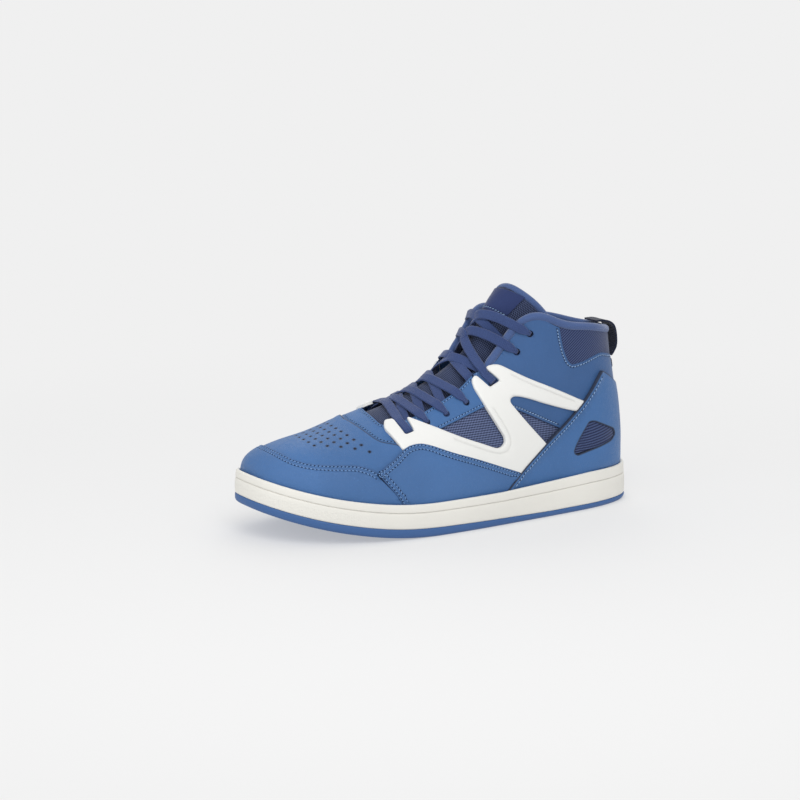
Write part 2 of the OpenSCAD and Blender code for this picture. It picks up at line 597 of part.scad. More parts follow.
module tongue_roll_edge() {
    // runs up one side, over the top and down the other, just outside the padding
    right = [for (i = [9:15]) let(s = tongue_s(i, 5)) tongue_at(s, tongue_a(s) + .1, -2.9)];
    left = [for (i = [15:-1:9]) let(s = tongue_s(i, 5)) tongue_at(s, -tongue_a(s) - .1, -2.9)];
    top = [for (j = [6:-1:-6]) let(v = j / 6, s = 15 - 1.1 * v * v) tongue_at(s + .44, (tongue_a(s) + .07) * v, -2.8)];
    color(sky)
        tube(concat(right, top, left), tongue_roll, 8);
}
module tongue_label() {
    n = 4;
    ss = [for (i = [0:n]) 13 + i * 1.6 / n];
    aa = [for (j = [-4:4]) j * .36 / 4];
    m = len(aa);
    k = (n + 1) * m;
    color(navy)
        polyhedron(points = concat([for (s = ss) for (a = aa) tongue_at(s, a, 0)], [for (s = ss) for (a = aa) tongue_at(s, a, .9)]),
            faces = concat(
            [for (i = [0:n - 1]) for (j = [0:m - 2]) for (f = [[i * m + j, i * m + j + 1, (i + 1) * m + j + 1],
                [i * m + j, (i + 1) * m + j + 1, (i + 1) * m + j]]) f],
            [for (i = [0:n - 1]) for (j = [0:m - 2]) for (f = [[k + i * m + j, k + (i + 1) * m + j + 1, k + i * m + j + 1],
                [k + i * m + j, k + (i + 1) * m + j, k + (i + 1) * m + j + 1]]) f],
            [for (i = [0:n - 1]) for (f = [[i * m, (i + 1) * m, k + i * m], [(i + 1) * m, k + (i + 1) * m, k + i * m]]) f],
            [for (i = [0:n - 1]) for (f = [[i * m + m - 1, k + i * m + m - 1, (i + 1) * m + m - 1],
                [(i + 1) * m + m - 1, k + i * m + m - 1, k + (i + 1) * m + m - 1]]) f],
            [for (j = [0:m - 2]) for (f = [[j, k + j, j + 1], [j + 1, k + j, k + j + 1]]) f],
            [for (j = [0:m - 2]) for (f = [[n * m + j, n * m + j + 1, k + n * m + j], [n * m + j + 1, k + n * m + j + 1, k + n * m + j]]) f]),
            convexity = 4);
}

// ---- laces -----------------------------------------------------------------------------
// a ribbon from hole i on side m to hole j on the other side, arched over the tongue
// point between a hole and the throat, riding over the eyestay
function near(i, m, sm, t) = let(s = mixn(HOLES[i][0], sm, t * .45), a = ang(HOLES[i][0], HOLES[i][1]))
    at(s, m * mixn(a, .22, t * .8), 3.2);
function hole_at(i, m, o) = let(s = HOLES[i][0]) at(s, m * ang(s, HOLES[i][1]), o);
module ribbon(i, j, m, up) {
    sm = (HOLES[i][0] + HOLES[j][0]) / 2;
    keys = [hole_at(i, m, 1.3), near(i, m, sm, .5), near(i, m, sm, 1), tongue_at(sm, .12 * m, up), tongue_at(sm, -.12 * m, up),
            near(j, -m, sm, 1), near(j, -m, sm, .5), hole_at(j, -m, 1.3)];
    n = 12;
    path = [for (k = [0:n]) crv(keys, k * 7 / n)];
    along = [for (k = [0:n]) unit(path[min(k + 1, n)] - path[max(k - 1, 0)])];
    tn = tongue_n(sm, 0);
    fa = face(HOLES[i][0], m * ang(HOLES[i][0], HOLES[i][1]));
    fb = face(HOLES[j][0], -m * ang(HOLES[j][0], HOLES[j][1]));
    nn = [for (k = [0:n]) let(t = k / n, h = t < .5 ? mixn(fa, tn, 2 * t) : mixn(tn, fb, 2 * t - 1)) unit(h - (h * along[k]) * along[k])];
    ww = [for (k = [0:n]) cross(along[k], nn[k])];
    polyhedron(points = [for (k = [0:n]) for (q = [[1, 1], [1, -1], [-1, -1], [-1, 1]])
            path[k] + ww[k] * q[0] * lace_w / 2 * (k == 0 || k == n ? .7 : 1) + nn[k] * q[1] * lace_t / 2],
        faces = concat([for (k = [0:n - 1]) for (q = [0:3]) let(r = (q + 1) % 4)
            for (f = [[k * 4 + q, (k + 1) * 4 + r, k * 4 + r], [k * 4 + q, (k + 1) * 4 + q, (k + 1) * 4 + r]]) f],
            [[0, 1, 2, 3]], [[n * 4 + 3, n * 4 + 2, n * 4 + 1, n * 4]]), convexity = 6);
}
module laces() {
    color(navy)
        resize([0, 0, 0])
            union() {
                for (k = [[0, 0, 1, 3], [1, 2, 1, 3], [1, 2, -1, 4.2], [2, 3, 1, 3], [2, 3, -1, 4.2],
                          [3, 4, 1, 6.4], [3, 4, -1, 5.8], [5, 5, 1, 4.2], [6, 6, 1, 3.8]])
                    ribbon(k[0], k[1], k[2], k[3]);
            }
}

// ---- pull loop ---------------------------------------------------------------------------
pull_w = 16;
module pull_strap(r) {
    // bowed strap in the middle plane
    p = [[27, 133.4], [20, 133.4], [13.5, 131.4], [9.6, 127], [8, 119], [8.4, 112.5], [11.4, 107.4], [13, 106]];
    rotate([90, 0, 0])
        linear_extrude(height = pull_w, center = true, convexity = 4)
            polygon(concat([for (i = [0:28]) crv(p, i / 4)], [for (i = [28:-1:0]) inward(p, i / 4, r)]));
}
module pull_loop() {
    color(navy)
        pull_strap(1.4);
}
module pull_anchor() {
    color(navy)
        resize([0, 0, 0])
            intersection() {
                shell(steps(13.5, 15, .25), steps(1.5, 2.5, .125), function(s) -.5, function(s) .7);
                translate([0, -pull_w / 2, 97])
                    cube([40, pull_w, 7]);
            }
}

module build() {
    scale(size_factor)
        translate([-mid, 0, 0])
            scale([sole_length / 304, 1, 1])
                children();
}
build() outsole();
build() cup_wall();
build() foam_midsole();
build() strobel_board();
build() sockliner();
build() toe_puff();
build() vamp();
build() toe_wrap();
build() throat_strip();
build() quarter_lateral();
build() quarter_medial();
build() mesh_lateral();
build() mesh_medial();
build() eyestay_lateral();
build() eyestay_medial();
build() ankle_lateral();
build() ankle_medial();
build() cage_lateral();
build() cage_medial();
build() heel_panel();
build() heel_insert_lateral();
build() heel_insert_medial();
build() heel_counter();
build() collar_mesh();
build() collar_foam();
build() collar_roll();
build() lining_front();
build() lining_collar();
build() tongue_body();
build() tongue_roll_edge();
build() tongue_label();
build() laces();
build() pull_loop();
build() pull_anchor();
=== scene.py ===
import bpy
import math
import json
import numpy as np
from mathutils import Vector, Matrix, geometry

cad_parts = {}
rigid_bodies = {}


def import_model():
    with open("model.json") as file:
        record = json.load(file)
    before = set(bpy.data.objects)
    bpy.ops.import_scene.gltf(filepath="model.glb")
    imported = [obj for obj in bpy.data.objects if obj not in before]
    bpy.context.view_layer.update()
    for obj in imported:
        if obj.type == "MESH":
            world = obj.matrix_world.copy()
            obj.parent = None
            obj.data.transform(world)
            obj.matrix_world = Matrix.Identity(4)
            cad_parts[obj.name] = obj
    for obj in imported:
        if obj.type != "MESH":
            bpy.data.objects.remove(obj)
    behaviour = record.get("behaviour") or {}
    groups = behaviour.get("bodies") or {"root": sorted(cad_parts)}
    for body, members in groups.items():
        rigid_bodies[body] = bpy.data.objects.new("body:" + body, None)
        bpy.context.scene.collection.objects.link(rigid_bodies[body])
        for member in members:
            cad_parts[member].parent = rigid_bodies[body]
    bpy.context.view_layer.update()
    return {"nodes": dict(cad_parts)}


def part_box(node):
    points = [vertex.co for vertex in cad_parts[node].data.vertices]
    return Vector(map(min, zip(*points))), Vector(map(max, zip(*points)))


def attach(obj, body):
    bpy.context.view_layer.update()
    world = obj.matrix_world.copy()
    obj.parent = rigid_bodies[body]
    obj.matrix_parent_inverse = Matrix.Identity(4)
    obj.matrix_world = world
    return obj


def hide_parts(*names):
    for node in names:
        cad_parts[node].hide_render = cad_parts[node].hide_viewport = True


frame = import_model()

# ------------------------------------------------------------------ units
cup_lo, cup_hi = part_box("cup_wall")
CUP_LENGTH = 304.6                           # mm, length of the cup wall in the design
SC = (cup_hi.x - cup_lo.x) / CUP_LENGTH      # model units per millimetre of the design
MID = 150.0                                  # mm from the heel to the frame's origin

# ------------------------------------------------------------------ the last
# one row per section: low point x z, ridge x z, half widths out/in, low-edge widths out/in,
# share of the height where it is widest, roundness, ridge offset
KEYS = np.array([
    [299.5, 31, 299, 48, -18, -18, -18, -18, .30, 2.3, -18],
    [296, 30.5, 295.5, 54, 4, -33, 3, -32, .30, 2.3, -16],
    [287, 29, 286, 60, 19, -41, 18, -40, .30, 2.3, -13.5],
    [271, 25, 270, 65, 32.5, -47, 32, -46, .27, 2.3, -11],
    [249, 20, 249, 69.5, 42, -50, 41.5, -49, .25, 2.3, -9],
    [224, 16, 224, 75, 47.5, -49.5, 47, -49, .22, 2.2, -7],
    [197, 15, 199, 83, 49.5, -45, 49, -44, .20, 2.1, -5],
    [165, 15, 177, 93, 48, -38.5, 47.5, -37, .18, 2.0, -4],
    [125, 15, 160, 104, 43.5, -33.5, 42.5, -31.5, .20, 2.0, -3],
    [85, 15, 147, 115, 39, -33, 38, -31, .22, 2.0, -2],
    [45, 15, 137, 126, 36, -33, 32.5, -30.5, .25, 2.0, -1],
    [16, 15, 130, 137, 35, -34, 18, -18, .30, 2.0, 0],
    [5.5, 38, 125, 147, 35.5, -35, 0, 0, .38, 2.0, 0],
    [7.5, 66, 121, 157, 36, -36, 0, 0, .42, 2.1, 0],
    [12.5, 94, 118, 166, 37, -37, 0, 0, .45, 2.2, 0],
    [17, 120, 115, 175, 38.5, -38.5, 0, 0, .47, 2.3, 0],
    [17, 148, 112, 184, 39.5, -39.5, 0, 0, .48, 2.4, 0]], float)
NS = 16.0                                    # number of the last section
TIP = .35                                    # sections over which the toe's tip is rounded
# ridge of the tongue (x, z) from section 4 up, and outline of the sole (x, y) from the heel
TONGUE = np.array([[247, 66], [224, 71], [199, 79], [178, 88], [159, 96.5], [143, 104], [130, 113.5],
                   [121.5, 124.5], [117, 135], [111, 146], [105, 155.5], [99, 163.5], [93, 171]], float)
SOLE = np.array([[0, 0], [5, 16], [18, 28.5], [42, 37.5], [75, 43], [115, 48], [155, 52.5], [190, 54.5],
    [218, 53.5],
                 [243, 48.5], [267, 40], [287, 26], [299, 9], [304, -9], [303.5, -26], [294, -42],
                 [272, -51], [245, -54.5],
                 [220, -54.5], [190, -49], [155, -41], [115, -36.5], [75, -37], [42, -36.5], [18, -28.5],
                 [5, -16]], float)


def catmull(a, b, c, d, t):
    """Catmull-Rom curve from b to c at t, with the neighbours a and d."""
    return .5 * (2 * b + (c - a) * t + (2 * a - 5 * b + 4 * c - d) * t * t
                 + (3 * b - a - 3 * c + d) * t ** 3)


def crv(k, u):
    """Catmull-Rom through the rows of k at u (0 .. rows - 1)."""
    k = np.asarray(k, float)
    u = np.clip(np.asarray(u, float), 0, len(k) - 1)
    i = np.minimum(u.astype(int), len(k) - 2)
    e = np.vstack([2 * k[0] - k[1], k, 2 * k[-1] - k[-2]])
    return catmull(e[i], e[i + 1], e[i + 2], e[i + 3], (u - i)[..., None])


def crc(k, u):
    """The same for a closed loop."""
    k, u = np.asarray(k, float), np.asarray(u, float)
    n = len(k)
    i = np.floor(u).astype(int)
    return catmull(k[(i - 1) % n], k[i % n], k[(i + 1) % n], k[(i + 2) % n], (u - i)[..., None])


def arclen(P):
    """Length along a polyline up to each of its points."""
    return np.r_[0, np.cumsum(np.linalg.norm(np.diff(P, axis=0), axis=1))]


def at_lengths(g, L, P):
    """Places on polyline P at the lengths g, where L is the length up to each point."""
    return np.stack([np.interp(g, L, c) for c in P.T], 1)


def smoothed(P, n):
    """Moving average over n points, with the ends held."""
    pad = np.vstack([np.repeat(P[:1], n // 2, 0), P, np.repeat(P[-1:], n // 2, 0)])
    return np.stack([np.convolve(c, np.ones(n) / n, "valid") for c in pad.T], 1)


def unit(v):
    """Vectors scaled to length one."""
    return v / np.maximum(np.linalg.norm(v, axis=-1, keepdims=True), 1e-9)


def ramp(x, a, b):
    """Smooth step from 0 at a to 1 at b."""
    t = np.clip((np.asarray(x, float) - a) / (b - a), 0, 1)
    return t * t * (3 - 2 * t)


def wrapa(a):
    """Angles past the heel seam, brought back to -2 .. 2."""
    a = np.asarray(a, float)
    return np.where(a > 2, a - 4, np.where(a < -2, a + 4, a))


# how far the inner side of each section stands forward, inward and up
LEAN = np.array([
    [0, 0, 0], [0, 0, 0], [0, 0, 0], [0, 0, 0], [0, 0, .5], [-1, .5, 4.5], [-4, 2, 6.5], [-2, .5, 5.5],
    [2, -1.5, 5],
    [6.5, -3.5, 5], [9.5, -4.5, 4], [10.5, -5, 3], [10, -4.5, 1.5], [9, -4, .5], [7.5, -4, -1], [6, -4, -2],
    [6, -4, -2]], float)


def height_share(a, l0):
    """Share of the section's height at angle a, where l0 is the share at the widest place."""
    q = np.abs(a)
    upper = l0 + (1 - l0) * np.cos(np.pi / 2 * np.minimum(q, 1))
    return np.where(q <= 1, upper, l0 * (1 - np.sin(np.pi / 2 * np.maximum(q - 1, 0))))


def lean(s, a, p, l0):
    """Point p of a symmetrical section, moved as far as the inner side leans forward."""
    t = ramp(-p[..., 1], -25, 25) * ramp(height_share(a, l0), .35, .8)
    return p + crv(LEAN, s) * t[..., None]


def section(k, a, w, b, T):
    """Point on a section: a is 0 at the ridge, 1 at the widest place, 2 at the low edge."""
    q = np.abs(a)
    l0, p, yt = k[..., 8], k[..., 9], k[..., 10]
    c = np.cos(np.pi / 2 * np.minimum(q, 1))
    lam = height_share(a, l0)
    y = np.where(q <= 1, yt + (w - yt) * np.sqrt(np.maximum(0, 1 - np.maximum(c, 1e-9) ** p)),
                 b + (w - b) * np.cos(np.pi / 2 * np.maximum(q - 1, 0)))
    return np.stack([k[..., 0] + (T[..., 0] - k[..., 0]) * lam, y,
            k[..., 1] + (T[..., 1] - k[..., 1]) * lam], -1)


def last(s, a):
    """Point on the last at section s and angle a."""
    s, a = np.broadcast_arrays(np.asarray(s, float), wrapa(a))
    k = crv(KEYS, s)
    pos = a >= 0
    p = section(k, a, np.where(pos, k[..., 4], k[..., 5]), np.where(pos, k[..., 6], k[..., 7]), k[..., 2:4])
    p[..., 0] += 3.5 * s * np.exp(-s / TIP)      # rounds the tip, where the two sides meet
    return lean(s, a, p, k[..., 8])


def face(s, a):
    """Outward direction of the last."""
    s, a = np.broadcast_arrays(np.asarray(s, float), wrapa(a))
    a = np.where(s < 11.4, np.clip(a, -1.7, 1.7), a)
    e = .04
    s = np.maximum(s, e)
    ds = last(np.minimum(s + e, NS), a) - last(s - e, a)
    da = last(s, a + e) - last(s, a - e)
    n = unit(np.cross(da, ds))
    return unit(n + np.maximum(0, .8 - s)[..., None] * .8 * np.array([1., 0, 0]))


def at(s, a, o=0.0):
    """Point o mm outside the last."""
    return last(s, a) + np.asarray(o, float)[..., None] * face(s, a)


def tongue_pt(s, a):
    """Point on the tongue's outer face."""
    s, a = np.broadcast_arrays(np.asarray(s, float), np.asarray(a, float))
    k = crv(KEYS, s)
    c = crv(TONGUE, s - 4)
    d = 7 + 5 * ramp(s, 9, 11)
    w = np.where(a >= 0, k[..., 4] - d, k[..., 5] + d + .9)
    return lean(s, a, section(k, a, w, w, c), k[..., 8])


def tongue_n(s, a):
    e = .04
    return unit(np.cross(tongue_pt(s, a + e) - tongue_pt(s, a - e),
            tongue_pt(s + e, a) - tongue_pt(s - e, a)))


def tongue_at(s, a, o=0.0):
    return tongue_pt(s, a) + np.asarray(o, float)[..., None] * tongue_n(s, a)


def xz_to_sa(p, m=1):
    """Side-view points (x, z) on the outer (m 1) or inner (m -1) side, as section and angle."""
    p = np.asarray(p, float).reshape(-1, 2)
    lo, hi = np.zeros(len(p)), np.full(len(p), NS)
    for _ in range(34):
        h = (lo + hi) / 2
        k = crv(KEYS, h)
        f = (k[:, 2] - k[:, 0]) * (p[:, 1] - k[:, 1]) - (k[:, 3] - k[:, 1]) * (p[:, 0] - k[:, 0])
        lo, hi = np.where(f > 0, h, lo), np.where(f > 0, hi, h)
    s = (lo + hi) / 2
    k = crv(KEYS, s)
    d = k[:, 2:4] - k[:, 0:2]
    l = np.clip(((p - k[:, 0:2]) * d).sum(1) / (d * d).sum(1), 0, 1)
    l0 = k[:, 8]
    a = np.where(l >= l0, np.arccos(np.clip((l - l0) / (1 - l0), 0, 1)) / (np.pi / 2),
                 1 + np.arcsin(np.clip((l0 - l) / l0, 0, 1)) / (np.pi / 2))
    return np.stack([s, m * a], 1)


def world(p):
    """Design millimetres as model units."""
    p = np.array(p, float)
    p[..., 0] -= MID
    return p * SC


# ------------------------------------------------------------------ outlines in 2-D
def rounded(pts, r=1.5, closed=True, step=1.2, smooth=32):
    """Even points along a polyline, with sharp corners rounded to r and gentle ones made one curve."""
    P = [np.array(p[:2], float) for p in pts]
    R = [(p[2] if len(p) > 2 else r) for p in pts]
    n = len(P)
    out = []
    for i in range(n):
        if not closed and i in (0, n - 1):
            out.append(P[i])
            continue
        a, b, c = P[(i - 1) % n], P[i], P[(i + 1) % n]
        u, v = a - b, c - b
        lu, lv = np.linalg.norm(u), np.linalg.norm(v)
        turn = math.degrees(math.acos(max(-1, min(1, -(u @ v) / (lu * lv)))))
        if turn < 1:
            out.append(b)
            continue
        t = .49 * min(lu, lv)
        if turn > smooth:
            t = min(t, R[i] * math.tan(math.radians(turn / 2)))
        p, q = b + u / lu * t, b + v / lv * t
        for h in np.linspace(0, 1, 7):
            out.append((1 - h) ** 2 * p + 2 * h * (1 - h) * b + h * h * q)
    out = np.array(out)
    if closed:
        out = np.vstack([out, out[:1]])
    seg = np.linalg.norm(np.diff(out, axis=0), axis=1)
    keep = np.r_[True, seg > 1e-6]
    out, L = out[keep], np.r_[0, np.cumsum(seg[seg > 1e-6])]
    m = max(3, int(round(L[-1] / step)))
    out = at_lengths(np.linspace(0, L[-1], m + 1), L, out)
    return out[:-1] if closed else out


def resample(P, step, closed=False, f=last):
    """Resample a (s, a) curve evenly by length in space."""
    Q = np.vstack([P, P[:1]]) if closed else P
    D = f(Q[:, 0], Q[:, 1])
    L = arclen(D)
    m = max(3, int(round(L[-1] / step)))
    out = at_lengths(np.linspace(0, L[-1], m + 1), L, Q)
    return out[:-1] if closed else out


def shift(P, d, closed=False, f=last, nf=face):
    """Move a (s, a) curve sideways by d mm along the surface (left of its direction, seen from outside)."""
    e = .02
    n = max(1, int(math.ceil(abs(d) / 2.0)))
    for _ in range(n):
        X = f(P[:, 0], P[:, 1])
        if closed:
            T = np.roll(X, -1, 0) - np.roll(X, 1, 0)
        else:
            T = np.gradient(X, axis=0)
        N = nf(P[:, 0], P[:, 1])
        b = unit(np.cross(N, T)) * (d / n)
        Js = (f(np.minimum(P[:, 0] + e, NS), P[:, 1]) - f(np.maximum(P[:, 0] - e, 0), P[:, 1])) / (
            np.minimum(P[:, 0] + e, NS) - np.maximum(P[:, 0] - e, 0))[:, None]
        Ja = (f(P[:, 0], P[:, 1] + e) - f(P[:, 0], P[:, 1] - e)) / (2 * e)
        A = np.stack([(Js * Js).sum(1), (Js * Ja).sum(1), (Ja * Ja).sum(1)], 1)
        r = np.stack([(Js * b).sum(1), (Ja * b).sum(1)], 1)
        det = A[:, 0] * A[:, 2] - A[:, 1] ** 2
        det = np.where(np.abs(det) < 1e-6, 1e-6, det)
        P = P + np.stack([(A[:, 2] * r[:, 0] - A[:, 1] * r[:, 1]) / det,
                (A[:, 0] * r[:, 1] - A[:, 1] * r[:, 0]) / det], 1)
        P[:, 0] = np.clip(P[:, 0], 0, NS)
    return P


def seg_dist(X, C, closed=False):
    """Distance from each point X to the polyline C in space."""
    A = C
    B = np.roll(C, -1, 0)
    if not closed:
        A, B = C[:-1], C[1:]
    out = np.full(len(X), 1e9)
    d = B - A
    dd = np.maximum((d * d).sum(1), 1e-12)
    for i in range(0, len(X), 2000):
        x = X[i:i + 2000]
        t = np.clip(((x[:, None, :] - A[None]) * d[None]).sum(2) / dd, 0, 1)
        q = A[None] + t[..., None] * d[None]
        out[i:i + 2000] = np.sqrt(((x[:, None, :] - q) ** 2).sum(2)).min(1)
    return out


def inside(P, poly):
    """Whether each point P lies in the polygon."""
    x, y = P[:, 0][:, None], P[:, 1][:, None]
    a, b = poly, np.roll(poly, -1, 0)
    hit = (a[:, 1] > y) != (b[:, 1] > y)
    den = np.where(b[:, 1] == a[:, 1], 1e-12, b[:, 1] - a[:, 1])
    xs = (b[:, 0] - a[:, 0]) * (y - a[:, 1]) / den + a[:, 0]
    return (hit & (x < xs)).sum(1) % 2 == 1


# ------------------------------------------------------------------ making objects
def make(name, V, F, mat, body, attrs=None, uv=None, replaces=(), sharp=False):
    """Mesh object with its material, that rides on a body of the frame."""
    me = bpy.data.meshes.new(name)
    me.from_pydata(np.asarray(V, float).tolist(), [], [tuple(int(i) for i in q) for q in F])
    me.polygons.foreach_set("use_smooth", [True] * len(me.polygons))
    if sharp:
        me.set_sharp_from_angle(angle=math.radians(50))
    for k, v in (attrs or {}).items():
        lay = me.attributes.new(k, "FLOAT", "POINT")
        lay.data.foreach_set("value", np.asarray(v, np.float32))
    if uv is not None:
        lay = me.uv_layers.new(name="UVMap")
        idx = np.zeros(len(me.loops), np.int32)
        me.loops.foreach_get("vertex_index", idx)
        lay.data.foreach_set("uv", np.asarray(uv, np.float32)[idx].ravel())
    me.update()
    ob = bpy.data.objects.new(name, me)
    bpy.context.scene.collection.objects.link(ob)
    ob.data.materials.append(mat)
    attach(ob, body)
    if replaces:
        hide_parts(*replaces)
    return ob


def profile(d, r):
    """Drop of a rounded edge at distance d from the edge, for edge radius r."""
    q = np.clip(1 - d / r, 0, 1)
    return r * (1 - np.sqrt(np.maximum(0, 1 - q * q)))


FOCUS = 9.0                   # mm, half the length of the line where the toe closes
SW, AW = 20.0, 45.0           # rough mm per unit of s and a in the flat chart


def chart_side(P):
    return np.stack([P[:, 0] * SW, P[:, 1] * AW], 1)


def chart_toe(P):
    """Elliptic chart: the two sides of the toe tip join without a slit."""
    w = FOCUS * np.cosh(.5 * P[:, 0] + 1j * np.pi / 2 * P[:, 1])
    return np.stack([w.real, w.imag], 1)


def unchart_side(Q):
    return np.stack([Q[:, 0] / SW, Q[:, 1] / AW], 1)


def unchart_toe(Q):
    w = np.arccosh((Q[:, 0] + 1j * Q[:, 1]) / FOCUS)
    return np.stack([2 * w.real, w.imag * 2 / np.pi], 1)


CHARTS = {"side": (chart_side, unchart_side), "toe": (chart_toe, unchart_toe)}


def grid_points(s0, s1, a0, a1, step, f):
    """Points spaced about step mm apart over a patch of the surface."""
    out = []
    ds = step / 26.0
    n = int((s1 - s0) / ds) + 1
    for i in range(n):
        s = s0 + (i + .5) * ds
        if s >= s1:
            break
        aa = np.linspace(a0, a1, 400)
        X = f(np.full(400, s), aa)
        L = arclen(X)
        m = max(2, int(L[-1] / step))
        g = (np.arange(m) + (.5 if i % 2 else 0)) * step
        a = np.interp(g, L, aa)
        up = np.linalg.norm(f(np.minimum(s + .05, NS) + 0 * a, a) - f(max(s - .05, 0) + 0 * a, a),
                axis=1) / (
            min(s + .05, NS) - max(s - .05, 0)) * ds
        skip = 2 ** np.floor(np.log2(np.clip(step / np.maximum(up, .05), 1, 16)) + .3)
        out.append(np.stack([np.full(m, s), a], 1)[(i % skip) == 0])
    return np.vstack(out)


def near_curves(P, curves, f):
    """Smallest distance in mm from (s, a) points to any of the (s, a) curves."""
    X = f(P[:, 0], P[:, 1])
    d = np.full(len(P), 1e9)
    for c in curves:
        d = np.minimum(d, seg_dist(X, f(c[:, 0], c[:, 1])))
    return d


def lift_at(P, top, lift, f):
    """Height of a panel's top, raised near the curves in lift."""
    o = np.full(len(P), float(top))
    for c, h, reach in lift:
        o += h * (1 - ramp(near_curves(P, [c], f), reach * .3, reach))
    return o


def panel(name, loop, mat, body="shoe", top=-.9, bot=-1.9, edge=.6, step=2.6, holes=(), seams=(),
        lift=(),
          replaces=(), f=last, nf=face, crown=0.0, chart="side", span=1.3, tuck=None, uv="side"):
    """A cut sheet lying on the surface; loop is its outline as (s, a) points.
    seams: (curve, depth, half width); holes: closed loops; lift: (curve, extra height, reach)."""
    to, back = CHARTS[chart]
    loop = resample(loop, span, True, f)
    flat = to(loop)
    rims = [loop] + list(holes)
    pts = []

    def dist(P):
        X = f(P[:, 0], P[:, 1])
        d = seg_dist(X, f(loop[:, 0], loop[:, 1]), True)
        for h in holes:
            d = np.minimum(d, seg_dist(X, f(h[:, 0], h[:, 1]), True))
        return d

    def within(P):
        Q = to(P)
        ok = inside(Q, flat)
        for h in holes:
            ok &= ~inside(Q, to(h))
        return ok

    def ring_round(hole, r):
        """The outline of a small hole, r mm larger all round."""
        c = hole.mean(0)
        size = np.linalg.norm(f(hole[:, 0], hole[:, 1]) - f(c[0], c[1]), axis=1).mean()
        return c + (hole - c) * (1 + r / size)

    def add(q, gap):
        q = q[within(q)]
        pts.append(q[dist(q) > gap])

    sgn = 1.0 if inside(to(shift(loop.copy(), .8, True, f, nf)), flat).mean() > .5 else -1.0
    rings = [edge * .1, edge * .35, edge, edge * 2.2]
    for r in rings:
        add(shift(loop.copy(), sgn * r, True, f, nf), r * .85)
    for h in holes:
        for r in rings + [edge * 2.2 + 1.1]:
            add(ring_round(h, r), r * .85)
    for c, depth, hw in seams:
        for o in (-1.6, -.8, 0, .8, 1.6):
            add(shift(c.copy(), o * hw, False, f, nf), edge * .4)
    lo, hi = loop.min(0), loop.max(0)
    g = grid_points(lo[0], hi[0], lo[1], hi[1], step, f)
    g = g[within(g)]
    g = g[dist(g) > edge * 2.2 + step * .35]
    for c, depth, hw in seams:
        g = g[near_curves(g, [c], f) > hw * 1.6 + step * .3]
    pts.append(g)
    allp = np.vstack(rims + pts)
    edges, k = [], 0
    for L in rims:
        n = len(L)
        edges += [(k + i, k + (i + 1) % n) for i in range(n)]
        k += n
    res = geometry.delaunay_2d_cdt([Vector(q) for q in to(allp)], edges, [], 0, 1e-6)
    Q = np.array([(v[0], v[1]) for v in res[0]], float)
    T = np.array([t for t in res[2] if len(t) == 3], int)
    cen = Q[T].mean(1)
    keep = inside(cen, flat)
    for h in holes:
        keep &= ~inside(cen, to(h))
    ar = np.cross(Q[T[:, 1]] - Q[T[:, 0]], Q[T[:, 2]] - Q[T[:, 0]])
    T = T[keep & (np.abs(ar) > 1e-9)]
    used = np.unique(T)
    remap = -np.ones(len(Q), int)
    remap[used] = np.arange(len(used))
    P2, T = back(Q[used]), remap[T]
    d = dist(P2)
    o = lift_at(P2, top, lift, f)
    o += crown * (1 - np.exp(-d / 6)) - profile(d, edge)
    # mask of the stitched grooves; the materials darken it as painted shade
    seam = np.zeros(len(P2))
    for c, depth, hw in seams:
        q = near_curves(P2, [c], f) / hw
        o -= depth * np.exp(-q * q * 1.5)
        seam = np.maximum(seam, np.exp(-q * q))
    B, N = f(P2[:, 0], P2[:, 1]), nf(P2[:, 0], P2[:, 1])
    X, Y = B + o[:, None] * N, B + bot * N
    if tuck:
        X, Y = tuck(X), tuck(Y)
    if (np.cross(X[T[:, 1]] - X[T[:, 0]], X[T[:, 2]] - X[T[:, 0]]) * N[T[:, 0]]).sum() < 0:
        T = T[:, ::-1]
    E = np.vstack([T[:, [0, 1]], T[:, [1, 2]], T[:, [2, 0]]])
    have = {(int(a), int(b)) for a, b in E}
    rim_e = sorted(e for e in have if (e[1], e[0]) not in have)
    nv = len(X)
    first = sorted({a for e in rim_e for a in e})
    pos = {a: i for i, a in enumerate(first)}
    V = np.vstack([X, Y[first]])
    faces = [tuple(t) for t in T] + [(b, a, nv + pos[a], nv + pos[b]) for a, b in rim_e]
    # underside: the same triangles, flipped, on a coarse copy
    nb = len(V)
    inner = [i for i in range(nv) if i not in pos]
    low = {a: nv + pos[a] for a in first}
    low.update({a: nb + i for i, a in enumerate(inner)})
    V = np.vstack([V, Y[inner]])
    faces += [(low[int(c)], low[int(b)], low[int(a)]) for a, b, c in T]
    src = list(range(nv)) + first + inner
    far = np.full(len(inner), 9.0)
    return make(name, world(V), faces, mat, body, uv=uv_of(P2[src], uv, f), replaces=replaces,
            sharp=True,
                attrs={"edge": np.r_[d, np.zeros(len(first)), far],
                "seam": np.r_[seam, np.zeros(len(src) - nv)]})


def uv_of(S, kind, f):
    """Texture places in mm: side view, unrolled round the heel, or plan."""
    X = f(S[:, 0], S[:, 1])
    if kind == "side":
        return np.stack([X[:, 0], X[:, 2]], 1)
    if kind == "heel":
        aa = np.linspace(0, 4, 300)
        out = np.zeros(len(S))
        for lo in np.arange(8, 16, .25):
            m = (S[:, 0] >= lo) & (S[:, 0] < lo + .25 + (lo > 15.7))
            if m.any():
                C = f(np.full(300, lo + .12), aa)
                L = arclen(C[:, :2])
                out[m] = np.interp(np.where(S[m, 1] < 0, S[m, 1] + 4, S[m, 1]), aa, L) - np.interp(2, aa, L)
        return np.stack([out, X[:, 2]], 1)
    return np.stack([X[:, 1], X[:, 0]], 1)


# ------------------------------------------------------------------ swept pieces
def frames(path, hint):
    """Direction, facing and sideways vectors along a path."""
    t = unit(np.gradient(path, axis=0))
    n = unit(hint - (hint * t).sum(1)[:, None] * t)
    return t, n, np.cross(t, n)


